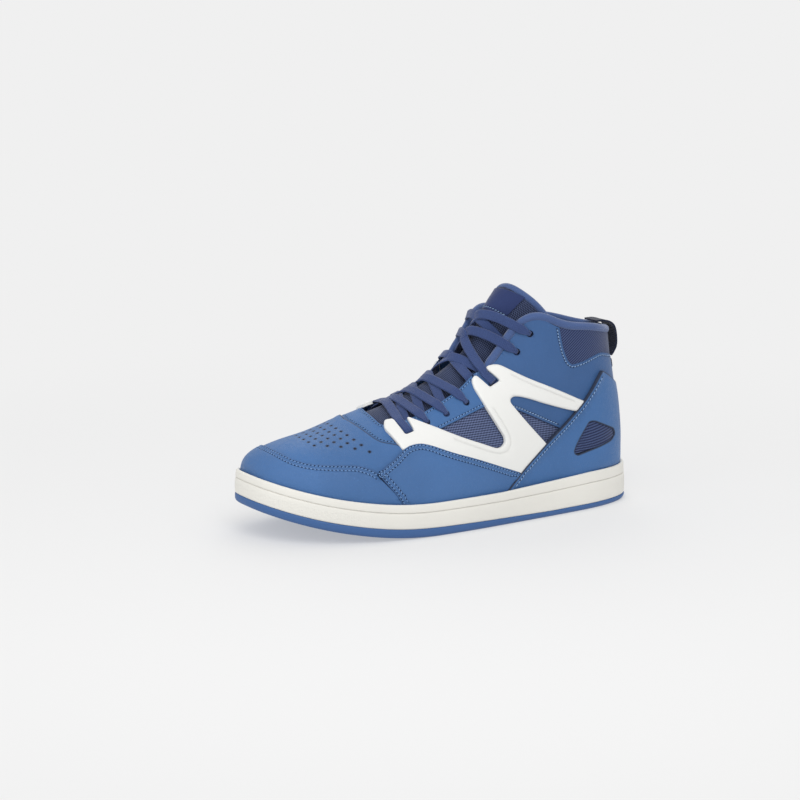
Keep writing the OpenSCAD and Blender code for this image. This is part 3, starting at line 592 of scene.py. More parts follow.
def sweep(path, hint, ring, scale=None):
    """Closed tube: ring is a list of (across, up) points, scale a factor pair for each path point."""
    path = np.asarray(path, float)
    t, n, b = frames(path, np.asarray(hint, float))
    m, k = len(path), len(ring)
    ring = np.asarray(ring, float)
    sc = np.ones((m, 2)) if scale is None else np.asarray(scale, float)
    V = (path[:, None, :] + b[:, None, :] * (ring[None, :, 0] * sc[:, :1])[..., None]
         + n[:, None, :] * (ring[None, :, 1] * sc[:, 1:2])[..., None]).reshape(-1, 3)
    F = []
    for i in range(m - 1):
        for j in range(k):
            q = (j + 1) % k
            F.append((i * k + j, i * k + q, (i + 1) * k + q, (i + 1) * k + j))
    F.append(tuple(range(k - 1, -1, -1)))
    F.append(tuple((m - 1) * k + j for j in range(k)))
    return V, F, np.stack([np.repeat(arclen(path), k), np.tile(arclen(ring), m)], 1)


def join(parts):
    """Several (V, F, uv) sets as one."""
    V, F, U, k = [], [], [], 0
    for v, fc, u in parts:
        V.append(v)
        U.append(u)
        F += [tuple(i + k for i in q) for q in fc]
        k += len(v)
    return np.vstack(V), F, np.vstack(U)


def even(path, step):
    """Path resampled evenly, about step mm apart."""
    L = arclen(path)
    m = max(4, int(round(L[-1] / step)))
    return at_lengths(np.linspace(0, L[-1], m + 1), L, path)


THREAD_R = .31                         # mm
HEX = [(math.cos(q), math.sin(q)) for q in np.linspace(0, 2 * math.pi, 6, endpoint=False)]
# one stitch, as shares of its length, height in mm and thickness factors
STITCH_AT = np.array([.12, .2, .36, .64, .8, .88])
STITCH_UP = np.array([-.3, -.04, .12, .12, -.04, -.3])
STITCH_FAT = np.array([.5, .9, 1, 1, .9, .5])


def stitch_parts(curve, offset, pitch=2.6, slant=.3, f=last, nf=face, lift=(), skip=None, hole=False):
    """Capsules of thread along a (s, a) curve, or dark dots between them: painted shade for the needle
    holes.
    """
    C = resample(curve, pitch, False, f)
    o = lift_at(C, offset, lift, f)
    X = f(C[:, 0], C[:, 1])
    N = nf(C[:, 0], C[:, 1])
    parts = []
    thread = [(x * THREAD_R, y * THREAD_R) for x, y in HEX]
    needle_shade = [(x * .42, y * .5) for x, y in HEX]
    for i in range(len(C) - 1):
        if skip is not None and skip((X[i] + X[i + 1]) / 2):
            continue
        p, q = X[i] + N[i] * o[i], X[i + 1] + N[i + 1] * o[i + 1]
        n = N[i]
        side = unit(np.cross(n, q - p)) * slant
        # dark dot sunk between stitches: painted shade for the needle hole
        if hole:
            dot = q + side + np.stack([unit(q - p) * g for g in (-.55, .55)]) - n * .22
            parts.append(sweep(dot, np.repeat(n[None], 2, 0), needle_shade))
            continue
        ts = STITCH_AT[:, None]
        path = p + (q - p) * ts + n * STITCH_UP[:, None] + side * (2 * ts - 1)
        parts.append(sweep(path, np.repeat(n[None], 6, 0), thread, np.stack([STITCH_FAT, STITCH_FAT], 1)))
    return parts


def stitches(name, rows, mat, body="shoe", slot=None, **kw):
    """Rows of (curve, height, options) as one piece of thread and one of dark dots, painted shade for the
    needle holes.
    """
    # second piece: dark dots of painted shade for the needle holes
    for tag, matter in (("", mat), ("_holes", M["needle_shade"])):
        parts = []
        for row in rows:
            extra = row[2] if len(row) > 2 else {}
            parts += stitch_parts(row[0], row[1], hole=bool(tag), **{**kw, **extra})
        V, F, U = join(parts)
        make(name + tag, world(V), F, matter, body, uv=U)


# ------------------------------------------------------------------ materials
def srgb(r, g, b):
    return tuple((c / 255 / 12.92) if c / 255 <= .04045 else ((c / 255 + .055) / 1.055) ** 2.4 for c in (r,
            g, b)) + (1.0,)


class Mat:
    """A node material built up step by step."""

    def __init__(self, name, rough=.5, spec=.4, sheen=0.0, coat=0.0):
        self.m = bpy.data.materials.new(name)
        self.m.use_nodes = True
        self.t = self.m.node_tree
        self.b = self.t.nodes["Principled BSDF"]
        self.set(self.b, {"Roughness": rough, "Specular IOR Level": spec, "Sheen Weight": sheen,
                "Sheen Roughness": .4,
                          "Coat Weight": coat, "Coat Roughness": .3})
        self.normal = None

    def set(self, node, values):
        for k, v in values.items():
            if hasattr(v, "is_linked"):
                self.t.links.new(v, node.inputs[k])
            else:
                node.inputs[k].default_value = v

    def add(self, kind, out=0, props=None, **inputs):
        n = self.t.nodes.new(kind)
        for k, v in (props or {}).items():
            setattr(n, k, v)
        self.set(n, {(int(k[1:]) if k[0] == "i" and k[1:].isdigit() else k.replace("_", " ")): v for k,
                v in inputs.items()})
        return n.outputs[out]

    def math(self, op, a, b=0.0):
        return self.add("ShaderNodeMath", props={"operation": op}, i0=a, i1=b)

    def coord(self):
        return self.add("ShaderNodeTexCoord", out="Object")

    def uv(self):
        return self.add("ShaderNodeTexCoord", out="UV")

    def noise(self, vec, scale, detail=3.0, rough=.5):
        return self.add("ShaderNodeTexNoise", Vector=vec, Scale=scale, Detail=detail, Roughness=rough)

    def attr(self, name):
        return self.add("ShaderNodeAttribute", out="Fac", props={"attribute_name": name})

    def fit(self, v, a, b, c=0.0, d=1.0):
        n = self.t.nodes.new("ShaderNodeMapRange")
        for i, x in enumerate((v, a, b, c, d)):
            self.set(n, {i: x})
        return n.outputs[0]

    def mix(self, fac, a, b):
        n = self.t.nodes.new("ShaderNodeMix")
        n.data_type = "RGBA"
        self.set(n, {0: fac, 6: a, 7: b})
        return n.outputs[2]

    def bump(self, height, dist, strength=1.0):
        n = self.t.nodes.new("ShaderNodeBump")
        self.set(n, {"Height": height, "Distance": dist, "Strength": strength})
        if self.normal is not None:
            self.set(n, {"Normal": self.normal})
        self.normal = n.outputs[0]

    def done(self, colour, rough=None):
        self.set(self.b, {"Base Color": colour})
        if rough is not None:
            self.set(self.b, {"Roughness": rough})
        if self.normal is not None:
            self.set(self.b, {"Normal": self.normal})
        return self.m


def leather(name, rgb, edge_rgb, edge_w=.35, edge_amount=.8, grain=1.0):
    m = Mat(name, spec=.38, sheen=.06)
    c = m.coord()
    cloud = m.noise(c, 14, 4)
    fleck = m.noise(c, 900, 2)
    base = m.mix(m.fit(cloud, .35, .65), srgb(*[v * .97 for v in rgb]),
            srgb(*[min(255, v * 1.03 + 2) for v in rgb]))
    base = m.mix(m.fit(fleck, .62, .75, 0, .25), base, srgb(*[min(255, v * 1.18 + 6) for v in rgb]))
    edge = m.fit(m.attr("edge"), edge_w * .5, edge_w * 1.4, edge_amount, 0)
    base = m.mix(edge, base, srgb(*edge_rgb))
    # painted shade: darker along the stitched grooves, from the seam attribute
    seam = m.math("MULTIPLY", m.attr("seam"), .34)
    base = m.mix(seam, base, srgb(*[v * .5 for v in rgb]))
    cell = m.add("ShaderNodeTexVoronoi", props={"feature": "DISTANCE_TO_EDGE"}, Vector=m.add(
        "ShaderNodeVectorMath", props={"operation": "ADD"}, i0=c, i1=m.add(
            "ShaderNodeVectorMath", props={"operation": "SCALE"},
            i0=m.add("ShaderNodeTexNoise", out=1, Vector=c, Scale=500.0),
            Scale=.0012)), Scale=1150.0)
    m.bump(m.fit(cell, 0, .22), .00012 * grain, .75)
    m.bump(m.noise(c, 3800, 2), .00006 * grain, .5)
    m.bump(m.noise(c, 60, 2), .0011, .16)
    rough = m.fit(m.noise(c, 420, 3), .3, .7, .42, .56)
    return m.done(base, rough)


def knit(name, dark, light, period=1.35, depth=.00022, kind="mesh", angle=0.0, sheen=.25, light_amount=1.0):
    """Textile on a uv in millimetres: mesh (open diamonds), rib (cords) or plain (fine weave)."""
    m = Mat(name, rough=.85, spec=.2, sheen=sheen)
    c = m.coord()
    uv = m.add("ShaderNodeMapping", Vector=m.uv(), Rotation=(0, 0, math.radians(angle)),
            Scale=(2 * math.pi / period,) * 3)
    sep = m.t.nodes.new("ShaderNodeSeparateXYZ")
    m.set(sep, {0: uv})
    u, v = sep.outputs[0], sep.outputs[1]
    if kind == "mesh":
        h = m.math("ADD", m.math("COSINE", u), m.math("COSINE", m.math("MULTIPLY", v, .82)))
        h = m.fit(h, -1.6, 1.5)
    elif kind == "rib":
        h = m.fit(m.math("COSINE", v), -1, 1)
        fine = m.fit(m.math("COSINE", m.math("MULTIPLY", u, 2.1)), -1, 1)
        h = m.math("ADD", m.math("MULTIPLY", h, .8), m.math("MULTIPLY", fine, .2))
    else:
        h = m.math("MULTIPLY", m.math("COSINE", m.math("ADD", u, v)),
                m.math("COSINE", m.math("SUBTRACT", u, v)))
        h = m.fit(h, -1, 1)
    fuzz = m.noise(c, 1600, 3)
    h2 = m.math("ADD", h, m.math("MULTIPLY", fuzz, .35))
    tone = m.math("MULTIPLY", m.fit(h2, .35, 1.15), light_amount)
    col = m.mix(tone, srgb(*dark), srgb(*light))
    col = m.mix(m.fit(m.noise(c, 25, 3), .35, .7, 0, .18), col, srgb(*[k * .82 for k in dark]))
    edge = m.fit(m.attr("edge"), .1, .6, .5, 0)
    col = m.mix(edge, col, srgb(*[k * .6 for k in dark])) if kind != "plain" else col
    m.bump(h2, depth, .9)
    m.bump(fuzz, .00008, .4)
    return m.done(col)


def moulded(name, rgb, rough=.42, line=0.0, stipple=0.0, wear=.5):
    """Injection-moulded plastic or rubber with a fine texture, faint dark specks and painted shade along its
    grooves.
    """
    m = Mat(name, spec=.45)
    c = m.coord()
    col = m.mix(m.fit(m.noise(c, 9, 4), .3, .7), srgb(*[v * .975 for v in rgb]),
            srgb(*[min(255, v * 1.015) for v in rgb]))
    col = m.mix(m.fit(m.noise(c, 700, 2), .6, .8, 0, .10 * wear), col, srgb(*[v * .8 for v in rgb]))
    # painted shade: darker along the moulded grooves and lines, from the seam attribute
    seam = m.math("MULTIPLY", m.attr("seam"), .22)
    col = m.mix(seam, col, srgb(*[v * .72 for v in rgb]))
    m.bump(m.noise(c, 2600, 2), .00005, .6)
    if stipple:
        band = m.attr("stipple")
        cell = m.add("ShaderNodeTexVoronoi", Vector=c, Scale=820.0)
        m.bump(m.math("MULTIPLY", m.fit(cell, 0, .6, 1, 0), band), .00022, stipple)
        ribs = m.math("COSINE", m.math("MULTIPLY", m.attr("along"), 2 * math.pi / 1.5))
        m.bump(m.math("MULTIPLY", ribs, band), .00012, line)
    m.bump(m.noise(c, 90, 3), .0004, .12)
    return m.done(col, m.fit(m.noise(c, 300, 3), .3, .7, rough - .05, rough + .09))


BLUE = (66, 107, 160)
M = {
    "leather": leather("leather_blue", BLUE, (44, 62, 98)),
    "leather_soft": leather("leather_blue_vamp", (63, 107, 162), (42, 58, 90), grain=1.25),
    "leather_dark_edge": leather("leather_blue_painted_edge", (63, 107, 162), (37, 44, 62), edge_w=.9,
    edge_amount=.95),
    "leather_deep": leather("leather_blue_ankle", (55, 93, 144), (38, 54, 88)),
    # dark colour of the needle-hole dots: painted shade
    "needle_shade": Mat("needle_hole", rough=.9, spec=.1).done(srgb(26, 38, 66)),
    "thread": Mat("thread_blue", rough=.7, spec=.25, sheen=.3).done(srgb(112, 150, 200)),
    "thread_light": Mat("thread_light", rough=.7, spec=.25, sheen=.3).done(srgb(140, 170, 208)),
    "mesh": knit("mesh_navy", (22, 29, 56), (112, 126, 166), period=1.3, depth=.00028, light_amount=1.15),
    "mesh_tongue": knit("mesh_tongue", (24, 33, 64), (112, 128, 170), period=1.25, depth=.00026, angle=8,
    light_amount=1.15),
    "rib": knit("rib_textile", (34, 43, 76), (78, 93, 134), period=1.5, depth=.0003, kind="rib", angle=-34),
    "rib_window": knit("rib_window", (33, 42, 74), (76, 92, 134), period=2.1, depth=.0003, kind="rib",
    angle=-14),
    "roll": knit("roll_textile", (62, 82, 128), (92, 116, 166), period=.9, depth=.00012, kind="plain",
    sheen=.5),
    "lining": knit("lining_textile", (36, 47, 82), (62, 78, 120), period=1.1, depth=.00012, kind="plain",
    sheen=.4),
    "label": knit("label_satin", (38, 50, 92), (58, 72, 118), period=.7, depth=.00006, kind="plain",
    sheen=.3),
    "lace": knit("lace_weave", (32, 46, 88), (84, 106, 160), period=1.5, depth=.0003, kind="plain", sheen=.3,
    light_amount=1.1),
    "webbing": knit("webbing", (24, 31, 56), (58, 68, 100), period=1.5, depth=.00026, kind="rib", angle=90),
    "cage": moulded("cage_moulded", (236, 236, 233), rough=.38),
    "cup": moulded("cup_rubber", (231, 229, 222), rough=.5, stipple=.8, line=.35),
    "outsole": moulded("outsole_rubber", (58, 96, 150), rough=.52, wear=1.0),
    "foam": moulded("foam_plain", (188, 190, 196), rough=.8),
    "board": moulded("board_fibre", (206, 204, 196), rough=.85),
}

# ------------------------------------------------------------------ the sole
def spring(x):
    """Rise of the sole towards the toe."""
    return 20 * np.clip((x - 183) / 117, 0, 1.05) ** 1.9


def outsole_h(x):
    """Thickness of the outsole."""
    return np.interp(x, [0, 90, 190, 300], [4.3, 4.3, 6.5, 6.5])


def wall_h(x):
    """Height of the cup's top edge above the lowest line of the sole."""
    return np.interp(x, [0, 50, 130, 300], [27.5, 27.5, 23.8, 23.3])


def in_cup(X):
    """Whether a point is hidden behind the cup wall."""
    return X[2] < wall_h(X[0]) + spring(X[0]) + .6


def sole_path(n=300):
    """Outline of the sole as even points, the inward direction at each, and the length up to it."""
    u = np.linspace(0, len(SOLE), 2601)[:-1]
    P = crc(SOLE, u)
    L = arclen(np.vstack([P, P[:1]]))
    g = np.linspace(0, L[-1], n + 1)[:-1]
    uu = np.interp(g, L, np.r_[u, len(SOLE)])
    P = crc(SOLE, uu)
    t = unit(crc(SOLE, uu + .05) - crc(SOLE, uu - .05))
    return P, np.stack([t[:, 1], -t[:, 0]], 1), g


RIM, RIM_IN, RIM_L = sole_path()


def tuck(X):
    """Push points that sit lower than the cup's top edge inside the cup wall."""
    X = np.array(X)
    low = np.where(X[:, 2] < 60)[0]
    for i in range(0, len(low), 2000):
        j = low[i:i + 2000]
        d = X[j, None, :2] - RIM[None]
        k = (d * d).sum(2).argmin(1)
        inset = (d[np.arange(len(j)), k] * RIM_IN[k]).sum(1)
        top = wall_h(X[j, 0]) + spring(X[j, 0])
        push = np.maximum(0, 3.75 - inset) * (1 - ramp(X[j, 2] - top, -.6, 2.6))
        X[j, :2] += RIM_IN[k] * push[:, None]
    return X


def loft_rings(rings):
    """Open skin through closed rings of equal length."""
    n, m = len(rings[0]), len(rings)
    V = np.vstack(rings)
    F = [(k * n + j, k * n + i, (k + 1) * n + i, (k + 1) * n + j)
         for k in range(m - 1) for i in range(n) for j in [(i + 1) % n]]
    return V, F


def build_cup():
    n = len(RIM)
    # rows of the wall: mm in from the rim, then mm from the bottom (b), the top (t) or the groove (g),
    # or a share of the height (m)
    prof = [(.6, "b", .1), (.2, "b", .45), (0, "b", 1.4), (0, "m", .25), (.1, "m", .45), (.35, "g", -1.6),
            (.5, "g", -.75), (.62, "g", -.5),
            (1.25, "g", -.2), (1.35, "g", .0), (1.25, "g", .2), (.66, "g", .5), (.6, "g", .8),
            (.7, "g", 2.0), (.85, "t", -2.2), (1.0, "t", -1.2),
            (1.25, "t", -.55), (1.65, "t", -.15), (2.1, "t", 0), (2.6, "t", -.06), (3.1, "t", -.35),
            (3.5, "t", -.9), (3.6, "t", -1.8),
            (3.6, "b", .3), (2.0, "b", .1)]
    x = RIM[:, 0]
    z0, z1 = outsole_h(x) + spring(x), wall_h(x) + spring(x)
    rings, seam, stip = [], [], []
    for d, ref, dz in prof:
        z = {"b": z0 + dz, "t": z1 + dz, "g": z0 + .66 * (z1 - z0) + dz, "m": z0 + dz * (z1 - z0)}[ref]
        p = RIM + RIM_IN * d
        rings.append(np.c_[p, z])
        # groove rows, which the material darkens as painted shade
        seam.append(np.full(n, 1.0 if ref == "g" and abs(dz) < .4 else 0))
        stip.append(np.where((ref in "bmg") & (dz < 1.4), 1.0,
                0) * (ramp(x, 215, 262) + 1 - ramp(x, 18, 46)) if d < 1 and ref != "g" else 0 * x)
    V, F = loft_rings(rings)
    m = len(rings)
    F += [((m - 1) * n + j, (m - 1) * n + i, i, j) for i in range(n) for j in [(i + 1) % n]]
    make("cup_wall_moulded", world(V), F, M["cup"], "shoe", replaces=["cup_wall"], sharp=True,
         attrs={"seam": np.concatenate(seam), "stipple": np.concatenate(stip), "along": np.tile(RIM_L, m)})


def tread(x, y):
    """Depth of the sole pattern: rings under the ball and heel, herringbone elsewhere."""
    def rings(cx, cy):
        d = np.hypot(x - cx, y - cy)
        return d, np.cos(d * 2 * np.pi / 6.4)
    d1, c1 = rings(222, -3)
    d2, c2 = rings(42, 0)
    zig = np.abs(((y + 300) % 18) - 9)
    h = np.cos((x + zig * .9) * 2 * np.pi / 6.6)
    pat = np.where(d1 < 30, c1, np.where(d2 < 22, c2, h))
    border = np.where(np.abs(d1 - 31.5) < 1.6, -1, np.where(np.abs(d2 - 23.5) < 1.6, -1, pat))
    return 1.1 * ramp(-border, .1, .55)


def build_outsole():
    x = RIM[:, 0]
    sp, oh = spring(x), outsole_h(x)
    prof = [(5.5, 0, 0), (2.9, 0, 0), (2.0, 0, .08), (1.3, 0, .45), (.65, 0, 1.1), (.2, 0, 1.9), (0, 0, 2.7),
            (0, 1, -1.3), (.12, 1, -.7), (.4, 1, -.2), (.8, 1, 0), (4, 1, 0)]
    rings = [np.c_[RIM + RIM_IN * d, sp + k * oh + dz] for d, k, dz in prof]
    V, F = loft_rings(rings)
    n, m = len(RIM), len(rings)
    gx, gy = np.meshgrid(np.arange(2, 303, 1.45), np.arange(-56, 57, 1.45), indexing="ij")
    g = np.stack([gx.ravel(), gy.ravel()], 1)
    ring2 = rings[0][:, :2]
    g = g[inside(g, ring2)]
    g = g[seg_dist(np.c_[g, 0 * g[:, 0]], np.c_[ring2, 0 * ring2[:, 0]], True) > 1.2]
    for base, R, pts in ((0, rings[0], g), ((m - 1) * n, rings[-1], np.zeros((0, 2)))):
        below = base == 0
        allp = np.vstack([R[:, :2], pts])
        res = geometry.delaunay_2d_cdt([Vector(p) for p in allp], [(i, (i + 1) % n) for i in range(n)], [],
                0, 1e-6)
        Q = np.array([(v[0], v[1]) for v in res[0]])
        T = np.array([t for t in res[2]], int)
        T = T[inside(Q[T].mean(1), R[:, :2])]
        in_from_rim = seg_dist(np.c_[Q, 0 * Q[:, 0]], np.c_[ring2, 0 * ring2[:, 0]], True)
        cut = tread(Q[:, 0], Q[:, 1]) * ramp(in_from_rim, .5, 3)
        z = spring(Q[:, 0]) + (cut if below else outsole_h(Q[:, 0]))
        idx = np.array([base + o[0] if len(o) and o[0] < n else -1 for o in res[3]])
        extra = np.where(idx < 0)[0]
        idx[extra] = len(V) + np.arange(len(extra))
        V = np.vstack([V, np.c_[Q[extra], z[extra]]])
        up = np.cross(Q[T[:, 1]] - Q[T[:, 0]], Q[T[:, 2]] - Q[T[:, 0]]) > 0
        for t, u in zip(T, up):
            a, b, c = (int(idx[i]) for i in t)
            F.append((c, b, a) if u == below else (a, b, c))
    make("outsole_tread", world(V), F, M["outsole"], "shoe", replaces=["outsole"],
            sharp=True,
         attrs={"seam": np.zeros(len(V))})


def build_sockliner():
    k = [(.875, .685, 14.75), (.88, .69, 15.4), (.88, .69, 17.2), (.878, .687, 18.2), (.872, .678, 18.9),
            (.862, .665, 19.3), (.84, .63, 19.25)]
    rings = [np.c_[156 + (RIM[:, 0] - 152) * a, RIM[:, 1] * b,
            z + spring(156 + (RIM[:, 0] - 152) * a)] for a, b, z in k]
    for q in (.8, .72, .6, .45, .3, .15, .04):
        x = 156 + (RIM[:, 0] - 152) * (.84 * q + .02)
        y = RIM[:, 1] * .63 * q
        rings.append(np.c_[x, y, 18.75 + .5 * q ** 4 + spring(x) + .35 * (1 - ramp(x, 60, 110)) * q * q])
    V, F = loft_rings(rings)
    n, m = len(RIM), len(rings)
    F.append(tuple(range(n)))
    F.append(tuple((m - 1) * n + i for i in range(n - 1, -1, -1)))
    make("sockliner_textile", world(V), F, M["lining"], "footbed", uv=V[:, :2],
            replaces=["sockliner"], sharp=True)


# ------------------------------------------------------------------ outlines of the panels, side view in mm
DIAG = [(128, 20), (112, 35), (89, 52), (72, 64), (63, 72), (55, 81), (43, 98)]
HEEL_WIN = [(50, 64.5, 3), (46, 64.5, 3), (26, 56, 5), (23.5, 52, 3), (27, 48.5, 3), (44, 44.5), (60, 41, 3),
    (63.5, 43, 2), (61, 48)]
QUARTER_TOP = [(206, 60), (200, 62.5), (192, 63.3), (185, 61.5), (171, 56), (147, 48), (129, 41), (113, 35)]
CAGE = ([(141, 101, 5), (141, 95.5, 4), (135, 82), (128, 69), (123.5, 61), (123.5, 57.5), (126, 55),
    (130, 54), (134, 55), (144, 59),
         (155, 63), (165, 67.2), (175, 71.7), (185, 76), (193.5, 79.5, 1.4), (193, 71, .9), (200, 69, .9),
         (202, 77.5, 1), (208, 76.3, 3.5),
         (211.3, 73, 2.5), (206, 60, 1)] + [(x, z - 2.6) for x, z in QUARTER_TOP[1:-1]] + [(113, 32, 1),
         (107, 35, 1), (86, 50.5, 1),
        (95, 60), (104, 70), (112, 80), (115, 84, 2.4), (114.5, 86.5, 2.4), (111, 88, 2.4), (106, 87.3),
        (98, 85), (86, 80.5), (72, 76),
        (59.5, 72.7, 1), (53.5, 79.5, 1), (76, 90), (85, 94), (97, 99), (108, 104.5), (118, 110),
        (122, 110.7), (130, 109, 4),
        (120, 99.5, .8), (129, 95.5, .8), (137, 104, 2)])
LINE_LOW = [(129.3, 80.5), (122.7, 68.5), (119.2, 61), (119.4, 55.6), (122.6, 51.4), (128.5, 50),
    (136, 51.8), (146, 55.6), (157, 60), (166, 63.8)]
LINE_TOP = [(111, 102.6), (99, 96.2), (87, 91), (76, 86.2), (64, 81)]
EDGE_LINE = [(136, 106.5), (131.5, 110.5), (127.5, 114), (124.5, 116.5), (120.5, 121), (116.5, 127),
    (110.5, 136), (107, 141), (102.5, 145), (97, 147.4),
             (90, 147.6), (84, 145.5), (77, 141.5), (70, 139.3), (62, 138.3), (52, 137.6), (42, 136),
             (32, 133.5), (22, 131.3), (10, 130.5)]
COLLAR_CUT = [(18, 109), (30, 112.5), (39, 114.8), (48, 112.6), (57, 109.4), (65, 107.8), (68, 109.8),
    (72, 118), (75, 129), (76.5, 136)]


def side(pts, m=1, closed=False, r=1.5, step=1.2):
    """Side-view outline with rounded corners, as (s, a)."""
    return xz_to_sa(rounded(pts, r, closed, step), m)


def inward(line, loop, *steps, chart=chart_side):
    """The line moved by each step in mm, to the side that lies inside the loop."""
    g = 1 if inside(chart(shift(line.copy(), steps[0])), chart(loop)).mean() > .5 else -1
    return [shift(line.copy(), g * d) for d in steps]


def heel(P):
    """Continue the inner side's angles past the heel seam."""
    P = np.array(P)
    P[:, 1] = np.where(P[:, 1] < 0, P[:, 1] + 4, P[:, 1])
    return P


def other_side(P):
    """The mirror image of a path that runs past the heel seam."""
    Q = P.copy()
    Q[..., 1] = 4 - Q[..., 1]
    return Q


def both(P):
    """A path on the outer side from the heel seam back to the seam, closed by its mirror image."""
    return np.vstack([P, other_side(P[::-1])])


def mirror(P):
    """The same path on the other side of the shoe."""
    return P * np.array([1, -1])


def ang2(s, l):
    """Angle for a share l of the height, on either side of the widest place."""
    s, l = np.broadcast_arrays(np.asarray(s, float), np.asarray(l, float))
    l0 = crv(KEYS, s)[..., 8]
    return np.where(l >= l0, np.arccos(np.clip((l - l0) / (1 - l0), 0, 1)),
            np.pi / 2 + np.arcsin(np.clip((l0 - l) / l0, 0, 1))) / (np.pi / 2)


def sl(rows):
    """(s, share) rows as (s, a) points on the outer side."""
    r = np.asarray(rows, float)
    return np.stack([r[:, 0], ang2(r[:, 0], r[:, 1])], 1)


def curve(P, n=60):
    """Smooth curve through the rows of P, as n points."""
    return crv(P, np.linspace(0, len(P) - 1, n))


def low_a(s, drop=3.2):
    """Angle of the line that runs drop mm under the cup's top edge."""
    s = np.asarray(s, float)
    k = crv(KEYS, s)
    z = wall_h(k[:, 0]) + spring(k[:, 0]) - drop
    return ang2(s, np.clip((z - k[:, 1]) / (k[:, 3] - k[:, 1]), .015, .9))


def low_path(s0, s1, n=60, drop=3.2):
    s = np.linspace(s0, s1, n)
    return np.stack([s, low_a(s, drop)], 1)


def inset_curve(pts, d, n=220):
    """Side-view open curve moved d mm to its right-hand side, smoothed."""
    P = crv(np.asarray(pts, float), np.linspace(0, len(pts) - 1, n))
    t = unit(np.gradient(P, axis=0))
    return P + np.stack([-t[:, 1], t[:, 0]], 1) * d


def disc(s, a, r, n=12, f=last):
    """Small circle of radius r mm round a place on the surface, as (s, a)."""
    e = .01
    js = (f(s + e, a) - f(s - e, a)) / (2 * e)
    ja = (f(s, a + e) - f(s, a - e)) / (2 * e)
    t1 = js / np.linalg.norm(js)
    t2 = ja - (ja @ t1) * t1
    t2 /= np.linalg.norm(t2)
    A = np.array([[js @ t1, ja @ t1], [js @ t2, ja @ t2]])
    th = np.linspace(0, 2 * np.pi, n, endpoint=False)
    return np.array([s, a]) + np.linalg.solve(A, r * np.stack([np.cos(th), np.sin(th)])).T


def patch(corners, n):
    """Outline of a four-cornered patch, with n points on each side."""
    return np.vstack([np.linspace(corners[i], corners[(i + 1) % 4], n, endpoint=False) for i in range(4)])


def slit(c, d, half, m, w=1.0):
    """Narrow slot through a panel: centre and direction in the side view."""
    c, d = np.array(c), np.array(d) / np.hypot(*d)
    q = np.array([-d[1], d[0]])
    pts = [c + d * half * i + q * w * j for i, j in ((-1, -1), (0, -1), (1, -1), (1, 1), (0, 1), (-1, 1))]
    return xz_to_sa(pts, m)


def over(x, y):
    """(s, a) of the upper surface above a plan point."""
    q = np.array([4.0, 0.0])
    for _ in range(25):
        p = last(q[0], q[1])
        e = 1e-3
        J = np.stack([(last(q[0] + e, q[1]) - p)[:2] / e, (last(q[0], q[1] + e) - p)[:2] / e], 1)
        q = q + np.clip(np.linalg.solve(J, np.array([x, y]) - p[:2]), -.5, .5) * .8
    return q


EYELET_R, PUNCH_R = 2.2, .52           # mm, radius of an eyelet and of a perforation
# eyelets as (section, share of the height), from the toe up; the cage's notches take the first and fifth
HOLES = [(6.05, .87), (6.72, .82), (7.4, .80), (8.2, .79), (9.45, .79), (11.4, .81), (12.6, .78)]


def eyelet_sa(i, m):
    """Centre of eyelet i on the outer (m 1) or inner (m -1) side, as (s, a)."""
    s, l = HOLES[i]
    return np.array([s, m * float(ang2(s, l))])


def eyelet(i, m):
    return disc(*eyelet_sa(i, m), EYELET_R, 16)


# ------------------------------------------------------------------ upper: the curves that panels share
TOE_TOP = sl([(2.1, 1.0), (2.2, .965), (2.5, .845), (2.95, .75), (3.43, .705), (3.9, .68), (4.35, .65),
    (4.68, .59), (4.87, .53)])
TOE_TOP[0, 1] = 0.0
TOE_EDGE = np.vstack([curve(mirror(TOE_TOP)[::-1], 90), curve(TOE_TOP, 90)[1:]])
VAMP_REAR = sl([(4.83, 1.0), (4.9, .985), (5.04, .92), (5.23, .83), (5.62, .755), (5.95, .66)])
VAMP_REAR[0, 1] = 0.0
VAMP_EDGE = np.vstack([curve(mirror(VAMP_REAR)[::-1], 60), curve(VAMP_REAR, 60)[1:]])
VAMP_LOW = sl([(5.95, .66), (5.5, .58), (5.0, .45), (4.6, .50), (4.2, .56), (3.8, .59), (3.3, .62),
    (2.9, .66), (2.45, .75), (2.05, .86), (1.8, .95), (1.72, 1.0)])
VAMP_LOW[-1, 1] = 0.0
THROAT = sl([(5.56, .935), (5.86, .915), (6.34, .90), (6.83, .89), (7.54, .885), (8.16, .88), (8.84, .885),
    (9.3, .89)])
ROLL_DEEP = -2.75                      # mm, middle of the collar's roll from the last
ROLL = inset_curve(EDGE_LINE, 3.3)
ROLL_SA = heel(xz_to_sa(ROLL, 1))


